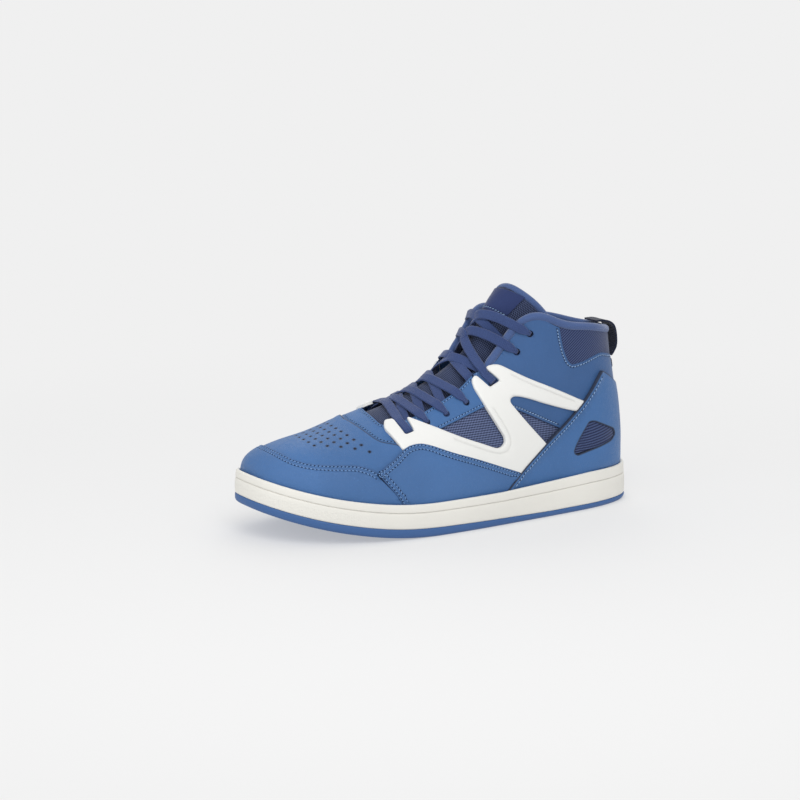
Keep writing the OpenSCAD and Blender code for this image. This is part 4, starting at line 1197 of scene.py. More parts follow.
def build_upper(m):
    """Panels of one side: m 1 is the outer side, -1 the inner."""
    tag = "lateral" if m > 0 else "medial"
    flip = (lambda P: P) if m > 0 else mirror
    q_top = side([(228.4, 46.4), (223, 49.9), (213.5, 55)] + QUARTER_TOP, m, step=1.2)
    # mesh base under everything
    panel("mesh_base_" + tag, side([(219, 34), (220, 66), (206, 62), (190, 69), (137, 88), (100, 85.5),
            (64, 70), (60, 44), (100, 30)], m, True, 4),
          M["mesh"], top=-2.0, bot=-3.1, step=4, replaces=["mesh_" + tag], tuck=tuck)
    # eyestay
    eye_low = side([(203, 61), (190, 66.5), (174, 71.5), (137, 82.5), (131, 84)], m)
    front = side([(210.8, 73), (209, 66), (203, 61)], m)
    rear = side([(131, 84), (137, 100), (139.5, 104.5)], m)
    throat = flip(curve(THROAT, 120))
    loop = np.vstack([front, eye_low[1:], rear[1:], throat[::-1]])
    row_low, = inward(eye_low, loop, 2.1)
    row_top, = inward(throat, loop, 2.0)
    holes = [eyelet(i, m) for i in (1, 2, 3)] + [slit((196.5, 70.5), (7, -2), 3.2, m)]
    panel("eyestay_leather_" + tag, loop, M["leather_soft"], top=-.75, bot=-1.9,
            edge=.45, holes=holes, crown=.15,
          seams=[(row_low, .28, .7), (row_top, .28, .7)], replaces=["eyestay_" + tag])
    # ankle panel
    roll_in = heel(xz_to_sa(inset_curve(EDGE_LINE, 5.3), 1))
    up = roll_in[(roll_in[:, 0] > 10.3)]
    cut = side(COLLAR_CUT, 1)
    ax = last(up[:, 0], up[:, 1])[:, 0]
    up = up[ax > 75.6]
    low = side([(139.0, 104.5), (137, 103), (129.5, 85), (124, 83), (110, 78.7), (77, 63), (67, 58.5),
            (50, 75), (42, 88), (36, 91), (26, 85), (16, 79)], 1)
    k_low, k_cut = np.array([[13.42, 2.0]]), np.array([[14.53, 2.0]])
    half = np.vstack([k_cut, cut, up[::-1], low, k_low])
    row_cut, = inward(np.vstack([k_cut, cut[:-1]]), half, 2.1)
    rl, = inward(side([(135.5, 98), (129.5, 85), (124, 83), (110, 78.7), (77, 63)]), half, 2.1)
    half, row_cut, rl = flip(half), flip(row_cut), flip(rl)
    holes = [eyelet(i, m) for i in (5, 6)] + [slit((124.9, 98.2), (9, -4), 3.6, m)]
    panel("ankle_leather_" + tag, half, M["leather_deep"], top=-.7, bot=-1.9, edge=.5,
            holes=holes, crown=.25,
          seams=[(row_cut, .28, .7), (rl, .28, .7)], replaces=["ankle_" + tag])
    # moulded cage
    cage = side(CAGE, m, True, 1.5, .9)
    l1, l2 = side(LINE_LOW, m, step=1), side(LINE_TOP, m, step=1)
    panel("cage_moulding_" + tag, cage, M["cage"], top=1.45, bot=-1.4, edge=1.0,
            crown=.35, step=2.4,
          seams=[(l1, .5, .62), (l2, .5, .62)], replaces=["cage_" + tag])
    # quarter
    q_front = side([(228.4, 46.4), (222, 38.8), (216, 31.5), (211.5, 24)], m)
    edge_line = np.vstack([q_front[::-1], q_top[1:]])
    s_end = xz_to_sa([(106, 31)], m)
    bottom = flip(low_path(8.75, 5.35))
    q_loop = np.vstack([edge_line, s_end, bottom])
    r1, r2 = inward(edge_line, q_loop, 1.5, 4.0)
    q_lift = [(q_top, 1.05, 9.0)]
    panel("quarter_leather_" + tag, q_loop, M["leather"], top=1.0, bot=-.6, edge=.55,
            crown=.35,
          seams=[(r1, .3, .7), (r2, .3, .7)], lift=q_lift, replaces=["quarter_" + tag], tuck=tuck)
    stitches("stitching_" + tag, [(row_low, -.9), (row_top, -.9),
            (r1, 1.0, {"lift": q_lift, "skip": in_cup}),
                                  (r2, 1.05, {"lift": q_lift, "skip": in_cup, "slant": -.3})], M["thread"],
                                  slot="lace_textile")
    stitches("stitching_ankle_" + tag, [(row_cut, -.78), (rl, -.78)], M["thread_light"], slot="lace_textile",
            pitch=2.4)


def build_toe():
    # vamp with its perforations
    low = np.vstack([VAMP_LOW[:-1], mirror(VAMP_LOW)[::-1]])
    lowc = curve(low, 160)
    loop = np.vstack([VAMP_EDGE, lowc[1:-1]])
    holes = []
    for r in range(5):
        n = 9 - r
        for j in range(n):
            y = 6.5 - 2.2 * r + (j - (n - 1) / 2) * 6.5
            x = 238.5 + 5.9 * r - .0065 * (y + 7) ** 2
            s, a = over(x, y)
            holes.append(disc(s, a, PUNCH_R, 9))
    panel("vamp_leather", loop, M["leather_dark_edge"], top=-.55, bot=-1.9, edge=.35,
            holes=holes, chart="toe", crown=.3,
          lift=[(VAMP_EDGE, .55, 6)], replaces=["vamp"], step=2.4)
    # strip across the front of the throat
    back = sl([(5.40, 1.0), (5.43, .99), (5.5, .95), (5.62, .932), (5.8, .915)])
    back[0, 1] = 0
    fore = sl([(5.85, .72), (5.5, .70), (5.25, .77), (5.0, .86), (4.82, .93), (4.68, 1.0)])
    fore[-1, 1] = 0
    rear_edge = np.vstack([curve(mirror(back)[::-1], 40), curve(back, 40)[1:]])
    front_edge = np.vstack([curve(fore, 40), curve(mirror(fore)[::-1], 40)[1:]])
    sloop = np.vstack([rear_edge, front_edge])
    rows = []
    for base in (rear_edge, VAMP_EDGE):
        for d in (2.0, -2.0):
            c = shift(base.copy(), d)
            keep = inside(chart_toe(c), chart_toe(sloop))
            if keep.mean() > .4:
                rows.append(c[keep])
    panel("throat_strip_leather", sloop, M["leather_soft"], top=-1.15, bot=-1.9,
            edge=.4, chart="toe",
          seams=[(r, .22, .7) for r in rows], replaces=["throat_strip"])
    # toe wrap, closed round the tip
    junction = xz_to_sa(rounded([(227.5, 44.8), (221.5, 38), (215, 31), (209.5, 23), (208.5, 20)], 1, False,
            1.2), 1)
    s_low = junction[-1, 0]
    bottom = np.vstack([low_path(s_low, 1.0, 50), np.stack([np.linspace(.95, 0, 12), np.full(12, 1.9)], 1)])
    half = np.vstack([curve(TOE_TOP, 90), junction, bottom])
    wloop = np.vstack([half, mirror(half)[::-1][1:-1]])
    r1, r2 = inward(TOE_EDGE, wloop, 1.5, 4.0, chart=chart_toe)
    panel("toe_wrap_leather", wloop, M["leather"], top=.55, bot=-.9, edge=.5,
            chart="toe", crown=.45,
          seams=[(r1, .3, .7), (r2, .3, .7)], replaces=["toe_wrap"], tuck=tuck)
    stitches("stitching_toe", [(r1, .5), (r2, .55, {"slant": -.3})] + [(r, -1.25) for r in rows],
            M["thread"], slot="lace_textile")


def build_heel():
    top = side(DIAG + [(40.5, 101.2), (37.5, 100.6), (28, 95), (18, 88.5), (13, 85.4)], 1, r=2.5)
    bottom = low_path(11.24, 8.25, 70)
    bottom[0, 1] = 2.0
    half = np.vstack([[[11.26, 2.0]], bottom[1:], top, [[13.66, 2.0]]])
    loop = both(half[::-1])
    win = side(HEEL_WIN, 1, True, 3, 1.2)
    win_m = other_side(win)
    diag = side(DIAG, 1)
    diags = (diag, other_side(diag))
    rows = [inward(d, loop, 2.9)[0] for d in diags]
    lifts = [(d, 1.5, 7.0) for d in diags]
    panel("heel_leather", loop, M["leather_dark_edge"], top=.9, bot=-1.2, edge=.5,
            holes=[win, win_m], crown=.3,
          seams=[(r, .3, .7) for r in rows], lift=lifts, replaces=["heel_panel"], tuck=tuck, uv="heel")
    stitches("stitching_heel", [(r, .95, {"lift": lifts, "skip": in_cup}) for r in rows], M["thread_light"],
            slot="lace_textile", pitch=2.8)
    for tag, w in (("lateral", win), ("medial", win_m)):
        c = w.mean(0)
        panel("heel_insert_rib_" + tag, c + (w - c) * 1.16, M["rib_window"], top=-.35,
                bot=-1.5, edge=.3, crown=.6, step=3,
              replaces=["heel_insert_" + tag], uv="heel")
    # ribbed collar band round the back
    roll_in = heel(xz_to_sa(inset_curve(EDGE_LINE, 5.3), 1))
    x = last(roll_in[:, 0], roll_in[:, 1])[:, 0]
    up = roll_in[(x < 78) & (roll_in[:, 0] > 13) & (roll_in[:, 1] < 1.985)]
    lowc = side([(p[0] + (1.5 if p[0] > 66 else 0), p[1] - 1.6) for p in COLLAR_CUT[:-1]] + [(78.5, 137)], 1)
    half = np.vstack([[[15.12, 2.0]], up[::-1], lowc[::-1], [[14.44, 2.0]]])
    panel("collar_rib_band", both(half), M["rib"], top=-1.15, bot=-2.2, edge=.3,
            crown=.5, step=3, replaces=["collar_mesh"], uv="heel")


# ------------------------------------------------------------------ padding
def puff(ob, cap, pressure, pinned, frames=20):
    """Swell a padded piece with a short cloth simulation and keep the result, moved by at most cap mm."""
    me = ob.data
    n = len(me.vertices)
    rest = np.empty(n * 3)
    me.vertices.foreach_get("co", rest)
    rest = rest.reshape(-1, 3)
    tmp_me = me.copy()
    # worked at ten times real size, where the solver is steady
    tmp_me.vertices.foreach_set("co", (rest * 10).ravel())
    tmp = bpy.data.objects.new(ob.name + "_sim", tmp_me)
    bpy.context.scene.collection.objects.link(tmp)
    vg = tmp.vertex_groups.new(name="pin")
    for i in np.where(pinned)[0]:
        vg.add([int(i)], 1.0, "REPLACE")
    cl = tmp.modifiers.new("cloth", "CLOTH")
    st = cl.settings
    st.vertex_group_mass = "pin"
    st.use_pressure = True
    st.uniform_pressure_force = pressure
    st.quality = 6
    st.mass = .3
    st.tension_stiffness = st.compression_stiffness = 18
    st.shear_stiffness = 8
    st.bending_stiffness = 1.5
    st.effector_weights.gravity = 0
    cl.collision_settings.use_self_collision = False
    cl.point_cache.frame_start, cl.point_cache.frame_end = 1, frames
    sc = bpy.context.scene
    for f in range(1, frames + 1):
        sc.frame_set(f)
    dg = bpy.context.evaluated_depsgraph_get()
    ev = tmp.evaluated_get(dg).to_mesh()
    out = np.empty(n * 3)
    ev.vertices.foreach_get("co", out)
    out = out.reshape(-1, 3) / 10
    tmp.evaluated_get(dg).to_mesh_clear()
    sc.frame_set(1)
    bpy.data.objects.remove(tmp)
    bpy.data.meshes.remove(tmp_me)
    if not np.isfinite(out).all():
        return
    d = out - rest
    L = np.linalg.norm(d, axis=1, keepdims=True)
    lim = cap * SC
    d *= np.where(L > 1e-12, lim * np.tanh(L / lim) / np.maximum(L, 1e-12), 0)
    me.vertices.foreach_set("co", (rest + d).ravel())
    me.update()


def tube(name, path, radii, mat, body, hint, n, replaces):
    th = np.linspace(0, 2 * np.pi, n, endpoint=False)
    ring = np.stack([np.cos(th), np.sin(th)], 1)
    V, F, U = sweep(path, hint, ring, np.stack([radii, radii], 1))
    U[:, 1] *= np.repeat(radii, n)
    return make(name, world(V), F, mat, body, uv=U, replaces=replaces)


def sheet_faces(m, n):
    """Faces of a padded sheet: m x n points above, the same below, and the rim between them."""
    b, F = m * n, []
    for i in range(m - 1):
        for j in range(n - 1):
            q = i * n + j
            F += [(q, q + 1, q + n + 1, q + n), (b + q, b + q + n, b + q + n + 1, b + q + 1)]
    rim = [((i, j), (i + 1, j), j == 0) for i in range(m - 1) for j in (0, n - 1)]
    rim += [((i, j), (i, j + 1), i > 0) for j in range(n - 1) for i in (0, m - 1)]
    for p, r, ahead in rim:
        q, w = p[0] * n + p[1], r[0] * n + r[1]
        F.append((q, w, b + w, b + q) if ahead else (w, q, b + q, b + w))
    return F


def swell(ob, free, cap, pressure):
    """Puff the free points of a padded sheet and hold the rest."""
    puff(ob, cap, pressure, ~np.r_[free.ravel(), np.zeros(free.size, bool)])


def closing(L, reach):
    """Radius factor that closes a tube at both ends."""
    return np.sqrt(np.clip(np.minimum(L, 1 - L) / reach + .05, 0, 1))


def build_collar():
    # rolled edge: one tube from the outer flap round the back to the inner flap
    P = ROLL_SA[ROLL_SA[:, 1] < 1.985]
    top = np.array([[15.24, 2.0]])
    Q = P[::-1] * [1, -1]
    Q[:, 1] += 4
    S = np.vstack([P, top, Q])
    path = smoothed(even(at(S[:, 0], S[:, 1], ROLL_DEEP), 1.4), 15)
    n = len(path)
    L = np.arange(n) / (n - 1.0)
    r = 3.05 + .12 * np.sin(L * 47) * np.sin(L * 31)
    ends = ramp(L, 0, .05) * (1 - ramp(L, .95, 1))
    r = r * (.35 + .65 * ends) * closing(L, .003)
    hint = np.repeat([[0.0, 0, 1]], n, 0) + np.stack([.6 * ramp(path[:, 0], 95, 120), 0 * L, 0 * L], 1)
    tube("collar_roll_textile", path, r, M["roll"], "shoe", hint, 22, ["collar_roll"])
    # padded lining under it
    nv = 26
    tl = np.linspace(0, 1, 76)
    upper = P[P[:, 0] > 10.4]
    topc = crv(upper, tl * (len(upper) - 1))
    low = side([(101, 106), (97, 99), (90, 92.5), (80, 88), (66, 85), (45, 84), (25, 84), (14, 84.5)], 1)
    low = np.vstack([low, [[13.65, 2.0]]])
    lc = curve(low, len(tl))
    topc = np.vstack([topc[:-1], [[15.24, 2.0]]])
    lc[-1] = (13.65, 2.0)
    v = np.linspace(0, 1, nv)
    g = topc[:, None, :] * (1 - v[None, :, None]) + lc[:, None, :] * v[None, :, None]
    g = np.vstack([g, other_side(g[::-1])[1:]])
    m = len(g)
    u = np.linspace(0, 1, m)[:, None]
    side_fade = ramp(u, 0, .05) * (1 - ramp(u, .95, 1))
    bulge = np.sin(np.pi * np.clip(v * 1.02, 0, 1)) ** .45
    oi = -5.0 - 4.6 * bulge[None, :] * (.25 + .75 * side_fade)
    oo = np.full((m, nv), -3.75)
    s, a = g[..., 0].ravel(), g[..., 1].ravel()
    A, B = at(s, a, oi.ravel()), at(s, a, oo.ravel())
    V = np.vstack([A, B])
    uvs = np.stack([np.tile(np.repeat(np.arange(m) * 1.5, nv), 2),
            np.tile(np.tile(np.arange(nv) * 1.8, m), 2)], 1)
    pad_ob = make("collar_lining_padded", world(V), sheet_faces(m, nv), M["lining"], "shoe",
            uv=uvs, replaces=["collar_foam", "lining_collar"])
    free = np.zeros((m, nv), bool)
    free[2:-2, 2:-2] = True
    swell(pad_ob, free, 1.3, 3.0)


def build_lining():
    lat = np.vstack([[[9.6, .62], [9.6, 1.9]], np.stack([np.linspace(9.4, .55, 60), np.full(60, 1.88)], 1)])
    bottom = np.vstack([lat[1:], [[.3, 1.88]]])
    throat = np.array([[5.45, 0.0], [5.55, .2], [5.8, .34], [7, .42], [8.5, .45], [9.6, .5]])
    th = curve(throat, 60)
    loop = np.vstack([th, bottom, mirror(bottom)[::-1], mirror(th)[::-1][:-1]])
    panel("lining_front_textile", loop, M["lining"], top=-4.2, bot=-5.0, edge=.3,
            chart="toe", step=5,
          replaces=["lining_front"], tuck=tuck)
    h = side([(70, 18), (72, 60), (72, 89), (40, 88), (16, 88)], 1, r=3)
    half = np.vstack([h, [[13.78, 2.0]]])
    low = np.vstack([[[11.1, 2.0]], low_path(11.0, 9.35, 40, 8)])
    panel("lining_heel_textile", both(np.vstack([half[::-1], low[::-1]])[::-1]), M["lining"],
            top=-4.3, bot=-5.2, edge=.3,
          step=5, tuck=tuck, uv="heel")


# ------------------------------------------------------------------ tongue
TONGUE_ROOT = 4.75                     # section where the tongue is sewn in


def tongue_top(v):
    """Section of the tongue's top edge at v, -1 .. 1 across it."""
    return 15 - 1.1 * v * v


def tongue_half(s):
    """Angle of the tongue's side edge at section s."""
    return np.interp(s, [4.4, 6, 8, 10, 12, 13.4, 14.4, 15], [.24, .36, .40, .46, .60, .70, .66, .4])


def build_tongue():
    m, k = 96, 41
    u, v = np.meshgrid(np.linspace(0, 1, m), np.linspace(-1, 1, k), indexing="ij")
    s = TONGUE_ROOT + (tongue_top(v) - TONGUE_ROOT) * u
    a = tongue_half(s) * v
    thick = 5.3 * (1 - np.abs(v) ** 4 * .62) * np.sqrt(np.clip((1 - u) / .02 + .15, 0,
            1)) * (.35 + .65 * ramp(u, 0, .12))
    rnd = .8 * (1 - np.sqrt(1 - np.clip((np.abs(v) - .94) / .06, 0, 1) ** 2))
    top = -.5 - rnd
    A = tongue_at(s.ravel(), a.ravel(), top.ravel())
    B = tongue_at(s.ravel(), a.ravel(), (top - thick).ravel())
    V = np.vstack([A, B])
    # uv in mm: length up the tongue and across it
    cl = tongue_pt(s[:, k // 2], 0 * s[:, k // 2])
    row = tongue_pt(s[m // 2] * 0 + 11.5, tongue_half(11.5) * v[0])
    uv1 = np.stack([np.repeat(arclen(cl), k), np.tile(arclen(row), m)], 1)
    ob = make("tongue_mesh_padded", world(V), sheet_faces(m, k), M["mesh_tongue"], "tongue",
            uv=np.vstack([uv1, uv1]), replaces=["tongue_body"], sharp=True)
    free = np.zeros((m, k), bool)
    free[4:-3, 3:-3] = True
    swell(ob, free, .55, 2.0)
    # rolled edge: up one side, over the top and down the other
    vv = np.linspace(-1, 1, 61)
    lo_s = np.linspace(9.4, 13.9, 40, endpoint=False)
    right = np.stack([lo_s, tongue_half(lo_s) + .02], 1)
    crest = tongue_top(vv)
    topv = np.stack([crest + .16, (tongue_half(crest) + .02) * vv], 1)
    left = right[::-1] * [1, -1]
    S = np.vstack([right, topv[::-1], left])
    path = smoothed(even(tongue_at(S[:, 0], S[:, 1], -2.4), 1.3), 11)
    n = len(path)
    L = np.arange(n) / (n - 1.0)
    r = (2.75 + .1 * np.sin(L * 41)) * closing(L, .004) * (.6 + .4 * ramp(np.minimum(L, 1 - L), 0, .06))
    tube("tongue_roll_textile", path, r, M["roll"], "tongue",
            np.repeat([[.85, 0, .5]], n, 0), 20, ["tongue_roll_edge"])
    # label, a slanted plain patch with one stitched line
    def lab(p, q):
        return 13.05 + 1.72 * p - .12 * q, .36 * q + .10 * (p - .5) - .02
    lp = patch([lab(p, q) for p, q in ((0, -1), (0, 1), (1, 1), (1, -1))], 30)
    row = np.array([lab(.1, q) for q in np.linspace(-.93, .93, 40)])
    panel("tongue_label_satin", lp, M["label"], body="tongue", top=.55, bot=-.7,
            edge=.35, seams=[(row, .18, .6)],
          f=tongue_pt, nf=tongue_n, replaces=["tongue_label"], uv="plan")
    stitches("tongue_label_stitching", [(row, .5)], M["thread_light"], body="tongue",
             slot="lace_textile", f=tongue_pt, nf=tongue_n, pitch=2.2)


# ------------------------------------------------------------------ laces
def lace_ring(w, t, n=6):
    """Cross-section of a flat lace: thicker along both edges."""
    x = np.linspace(-1, 1, 2 * n + 1)
    h = t / 2 * (.78 + .22 * x ** 4) * np.sqrt(np.clip(1 - np.abs(x) ** 14, 0, 1) + .02)
    up = [(w / 2 * a, b) for a, b in zip(x, h)]
    dn = [(w / 2 * a, -b) for a, b in zip(x[::-1], h[::-1])]
    return up + dn


LACE_W, LACE_T = 7.0, 1.4
RINGL = lace_ring(LACE_W, LACE_T)


def lace(path, hints, width):
    """Flat lace along a path, with a facing direction and a width factor at each point."""
    L = arclen(path)
    fine = even(curve(path, 4 * len(path)), 1.0)
    at_fine = np.linspace(0, L[-1], len(fine))
    H = unit(at_lengths(at_fine, L, hints))
    w = np.interp(at_fine, L, width)
    V, F, U = sweep(fine, H, RINGL, np.stack([w, 1 + (1 - w) * .9], 1))
    U[:, 1] = np.tile(np.r_[np.linspace(0, LACE_W, 13), np.linspace(LACE_W, 0, 13)], len(fine))
    return V, F, U


LEATHER_TOP, ROLL_R = -.6, 3.1         # mm, top of the eyestay leather and radius of the collar's roll
FLAP = ROLL_SA[(ROLL_SA[:, 0] > 9.6) & (ROLL_SA[:, 1] < 1)]
FLAP = FLAP[:int(FLAP[:, 0].argmax()) + 1]
OPENING = np.vstack([THROAT, FLAP])
NOTCH = {0: [(201.2, 82.0), (198.8, 77.0), (197.6, 74.4), (196.8, 72.2), (196.5, 71.0)],
         4: [(133.5, 107.5), (130.5, 104.3), (128.0, 101.6), (126.0, 99.6), (125.2, 98.7)]}


def opening(s):
    """Angle of the edge of the throat, and higher up of the flap, at section s."""
    return np.interp(s, OPENING[:, 0], OPENING[:, 1])


def rests_on(s, a):
    """Offset of the highest thing a lace can rest on: tongue, eyestay leather or rolled edge."""
    gap = ((tongue_pt(s, a) - last(s, a)) * face(s, a)).sum(-1)
    low = gap + .15
    low = np.where(np.abs(a) > opening(s) - .02, np.maximum(low, LEATHER_TOP), low)
    d = seg_dist(last(s, np.abs(a)), last(FLAP[:, 0], FLAP[:, 1]))
    bump = ROLL_DEEP + np.sqrt(np.maximum(0, ROLL_R ** 2 - np.minimum(d, ROLL_R) ** 2))
    return np.where(d < ROLL_R, np.maximum(low, bump), low)


def lace_end(kind, i, m):
    """(s, a) where the free part of a lace stops."""
    if kind == "hole":
        return eyelet_sa(i, m)
    if kind == "notch":
        return xz_to_sa([NOTCH[i][1]], m)[0]
    return np.array([i, m * (float(opening(i)) + .13)])


def strand(a, b, layer, n=72):
    """Lace from one end to the other, pulled tight over what lies below it."""
    ea, eb = lace_end(*a), lace_end(*b)
    t = np.linspace(0, 1, n)
    S = ea + (eb - ea) * t[:, None]
    B, N = last(S[:, 0], S[:, 1]), face(S[:, 0], S[:, 1])
    low = rests_on(S[:, 0], S[:, 1]) + LACE_T / 2 + layer * ramp(np.minimum(t, 1 - t), .1, .26)
    high = np.full(n, 30.0)
    beyond = np.abs(S[:, 1]) - opening(S[:, 0])
    for end, half in ((a, t < .5), (b, t > .5)):
        if end[0] == "under":
            deep = np.where(S[:, 0] > 9.8, ROLL_DEEP - ROLL_R - 1.2, LEATHER_TOP - 2.3)
            high = np.where(half & (beyond > -.05), deep, high)
    low = np.minimum(low, high)
    for end, j in ((a, 0), (b, n - 1)):
        if end[0] == "hole":
            low[j] = high[j] = LEATHER_TOP - .9
        elif end[0] == "notch":
            low[j] = high[j] = .2
    o = low.copy()
    for _ in range(500):
        P = B + o[:, None] * N
        mid = (P[:-2] + P[2:]) / 2
        o[1:-1] = np.clip(((mid - B[1:-1]) * N[1:-1]).sum(1), low[1:-1], high[1:-1])
    o = np.convolve(np.r_[o[0], o[0], o, o[-1], o[-1]], [.1, .2, .4, .2, .1], "valid")
    P = B + o[:, None] * N
    W = np.ones(n)
    for end, first in ((a, True), (b, False)):
        c = P[0] if first else P[-1]
        d = np.linalg.norm(P - c, axis=1)
        if end[0] == "hole":
            W = np.minimum(W, .5 + .5 * ramp(d, 1.0, 8.0))
            inwards = N[0 if first else -1]
            tail = c - inwards * np.array([[1.6], [3.4]])
            nn, ww = np.repeat(inwards[None], 2, 0), [.46, .42]
        elif end[0] == "notch":
            W = np.minimum(W, .84 + .16 * ramp(d, 0, 9.0))
            q = xz_to_sa(NOTCH[end[1]][2:], end[2])
            tail = at(q[:, 0], q[:, 1], np.array([.2, .0, -2.0]))
            nn, ww = face(q[:, 0], q[:, 1]), [.84, .84, .84]
        else:
            continue
        if first:
            P, N, W = np.vstack([tail[::-1], P]), np.vstack([nn[::-1], N]), np.r_[ww[::-1], W]
        else:
            P, N, W = np.vstack([P, tail]), np.vstack([N, nn]), np.r_[W, ww]
    return lace(P, unit(smoothed(N, 9)), W)


def build_laces():
    over = LACE_T + .15                # height of a strand that crosses another
    runs = []
    for i, reach in ((1, .85), (2, 1.1), (3, 1.1)):
        s = HOLES[i][0]
        runs.append((("hole", i, -1), ("under", s - .75 * reach, 1), 0))
        runs.append((("hole", i, 1), ("under", s - reach, -1), over))
    runs += [
        (("notch", 0, 1), ("notch", 0, -1), over),
        # above the fourth row: one down from the inner notch, one across it, one up from the outer notch
        (("notch", 4, -1), ("under", 8.85, 1), 0),
        (("under", 8.5, -1), ("under", 9.75, 1), over),
        (("notch", 4, 1), ("hole", 5, -1), over),
        (("hole", 6, -1), ("under", 11.1, 1), 0),
        # two bars across the flaps
        (("hole", 5, 1), ("under", 10.0, -1), 2 * over),
        (("hole", 6, 1), ("under", 11.2, -1), over)]
    parts = [strand(*run) for run in runs]
    V, F, U = join(parts)
    make("laces_woven", world(V), F, M["lace"], "shoe", uv=U, replaces=["laces"])


# ------------------------------------------------------------------ pull loop
def build_pull():
    p = np.array([[27, 133.4], [20, 133.4], [13.5, 131.4], [9.6, 127], [8, 119], [8.4, 112.5], [11.4, 107.4],
            [13, 106]], float)
    q = crv(p, np.linspace(0, len(p) - 1, 90))
    path = np.stack([q[:, 0], 0 * q[:, 0], q[:, 1]], 1)
    t = unit(np.gradient(path, axis=0))
    nrm = np.stack([t[:, 2], 0 * t[:, 0], -t[:, 0]], 1)
    path = path + nrm * -.7
    w = 16.0
    x = np.linspace(-1, 1, 17)
    h = .7 * (.86 + .14 * np.abs(x) ** 6)
    ring = [(w / 2 * i, j) for i, j in zip(x, h)] + [(w / 2 * i, -j) for i, j in zip(x[::-1], h)]
    L = np.linspace(0, 1, 90)
    wid = 1 - .05 * np.sin(np.pi * L)
    V, F, U = sweep(path, nrm, ring, np.stack([wid, 1 + 0 * L], 1))
    U[:, 1] = np.tile(np.r_[np.linspace(0, w, 17), np.linspace(w, 0, 17)], 90)
    make("pull_loop_webbing", world(V), F, M["webbing"], "pull_tab", uv=U, replaces=["pull_loop"],
            sharp=True)
    cs = np.array([[14.10, 2 - .21], [14.36, 2 - .21], [14.36, 2 + .21], [14.10, 2 + .21]])
    lp = patch(cs, 14)
    row, row2 = (np.linspace([s, 2 - .17], [s, 2.17], 20) for s in (14.17, 14.29))
    panel("pull_anchor_webbing", lp, M["webbing"], top=.9, bot=-1.2, edge=.4,
            seams=[(row, .2, .6), (row2, .2, .6)],
          replaces=["pull_anchor"], uv="heel")
    stitches("pull_anchor_stitching", [(row, .85), (row2, .85)], M["thread"], slot="lace_textile", pitch=2.2)


def finish_cad_nodes():
    """Materials for the hidden CAD pieces that stay."""
    for name, mat in (("foam_midsole", "foam"), ("strobel_board", "board"), ("toe_puff", "board"),
            ("heel_counter", "board")):
        ob = frame["nodes"].get(name)
        ob = ob if hasattr(ob, "data") else bpy.data.objects.get(name)
        if ob is None:
            continue
        for q in [ob] + list(ob.children_recursive):
            if q.type == "MESH":
                q.data.materials.clear()
                q.data.materials.append(M[mat])


# ------------------------------------------------------------------ floor, light and camera
BACK = (.871, .871, .871, 1)


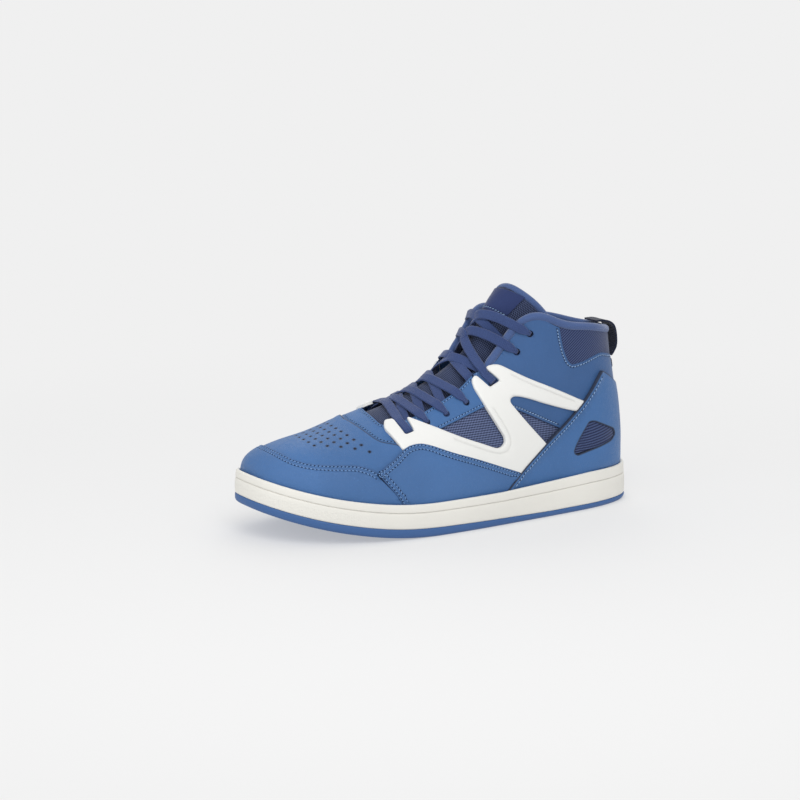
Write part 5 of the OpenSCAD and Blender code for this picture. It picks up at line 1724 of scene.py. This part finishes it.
def build_stage():
    """Pale floor that fades into the background, even studio light and three soft lamps."""
    me = bpy.data.meshes.new("floor")
    r = 12.0
    me.from_pydata([(-r, -r, 0), (r, -r, 0), (r, r, 0), (-r, r, 0)], [], [(0, 1, 2, 3)])
    ob = bpy.data.objects.new("floor", me)
    bpy.context.scene.collection.objects.link(ob)
    m = Mat("floor_pale", rough=.8, spec=.1)
    m.set(m.b, {"Base Color": (.84, .84, .84, 1)})
    place = m.add("ShaderNodeNewGeometry", out="Position")
    away = m.add("ShaderNodeVectorMath", out="Value", props={"operation": "LENGTH"}, i0=place)
    glow = m.add("ShaderNodeMapRange", props={"interpolation_type": "SMOOTHSTEP"}, i0=away, i1=.30, i2=.75,
            i3=.45)
    mix = m.add("ShaderNodeMixShader", i0=glow, i1=m.b.outputs[0],
            i2=m.add("ShaderNodeEmission", Color=BACK))
    m.t.links.new(mix, m.t.nodes["Material Output"].inputs["Surface"])
    me.materials.append(m.m)
    w = bpy.data.worlds.new("studio")
    bpy.context.scene.world = w
    w.use_nodes = True
    t = w.node_tree
    bg = t.nodes["Background"]
    bg.inputs[0].default_value = (1, 1, 1, 1)
    bg.inputs[1].default_value = .68
    cam_bg = t.nodes.new("ShaderNodeBackground")
    cam_bg.inputs[0].default_value = BACK
    lp = t.nodes.new("ShaderNodeLightPath")
    mx = t.nodes.new("ShaderNodeMixShader")
    t.links.new(lp.outputs["Is Camera Ray"], mx.inputs[0])
    t.links.new(bg.outputs[0], mx.inputs[1])
    t.links.new(cam_bg.outputs[0], mx.inputs[2])
    t.links.new(mx.outputs[0], t.nodes["World Output"].inputs["Surface"])
    # each lamp's name, place, diameter in metres and power in watts
    for name, loc, size, power in (("key", (.35, .95, 1.25), 1.1, 8.5), ("fill", (1.3, .5, .7), 1.2, 3),
            ("back", (-.6, -1.0, 1.1), 1.2, 4.5)):
        li = bpy.data.lights.new(name, "AREA")
        li.shape, li.size, li.energy = "DISK", size, power
        lo = bpy.data.objects.new(name, li)
        lo.location = loc
        lo.rotation_euler = (Vector((0, 0, .07)) - Vector(loc)).to_track_quat("-Z", "Y").to_euler()
        bpy.context.scene.collection.objects.link(lo)


def build_camera():
    """Camera at the photograph's viewing angle: direction, distance and shift in the design's mm."""
    az, el = math.radians(151.55), math.radians(11.06)
    dist, sx, sy = 1499.8, 32.6, -23.3
    bk = np.array([math.sin(az) * math.cos(el), -math.cos(az) * math.cos(el), math.sin(el)])
    rt = np.array([math.cos(az), math.sin(az), 0])
    up = np.cross(bk, rt)
    c = (np.array([0, 0, 60.0]) + bk * dist - rt * sx - up * sy) * SC
    cam = bpy.data.cameras.new("camera")
    cam.lens, cam.sensor_width = 94.0, 36.0
    ob = bpy.data.objects.new("camera", cam)
    ob.matrix_world = Matrix(((rt[0], up[0], bk[0], c[0]), (rt[1], up[1], bk[1], c[1]),
            (rt[2], up[2], bk[2], c[2]), (0, 0, 0, 1)))
    bpy.context.scene.collection.objects.link(ob)
    bpy.context.scene.camera = ob


build_cup()
build_outsole()
build_sockliner()
build_toe()
for side_sign in (1, -1):
    build_upper(side_sign)
build_heel()
build_collar()
build_lining()
build_tongue()
build_laces()
build_pull()
finish_cad_nodes()
build_stage()
build_camera()
bpy.context.scene.view_settings.view_transform = "Standard"
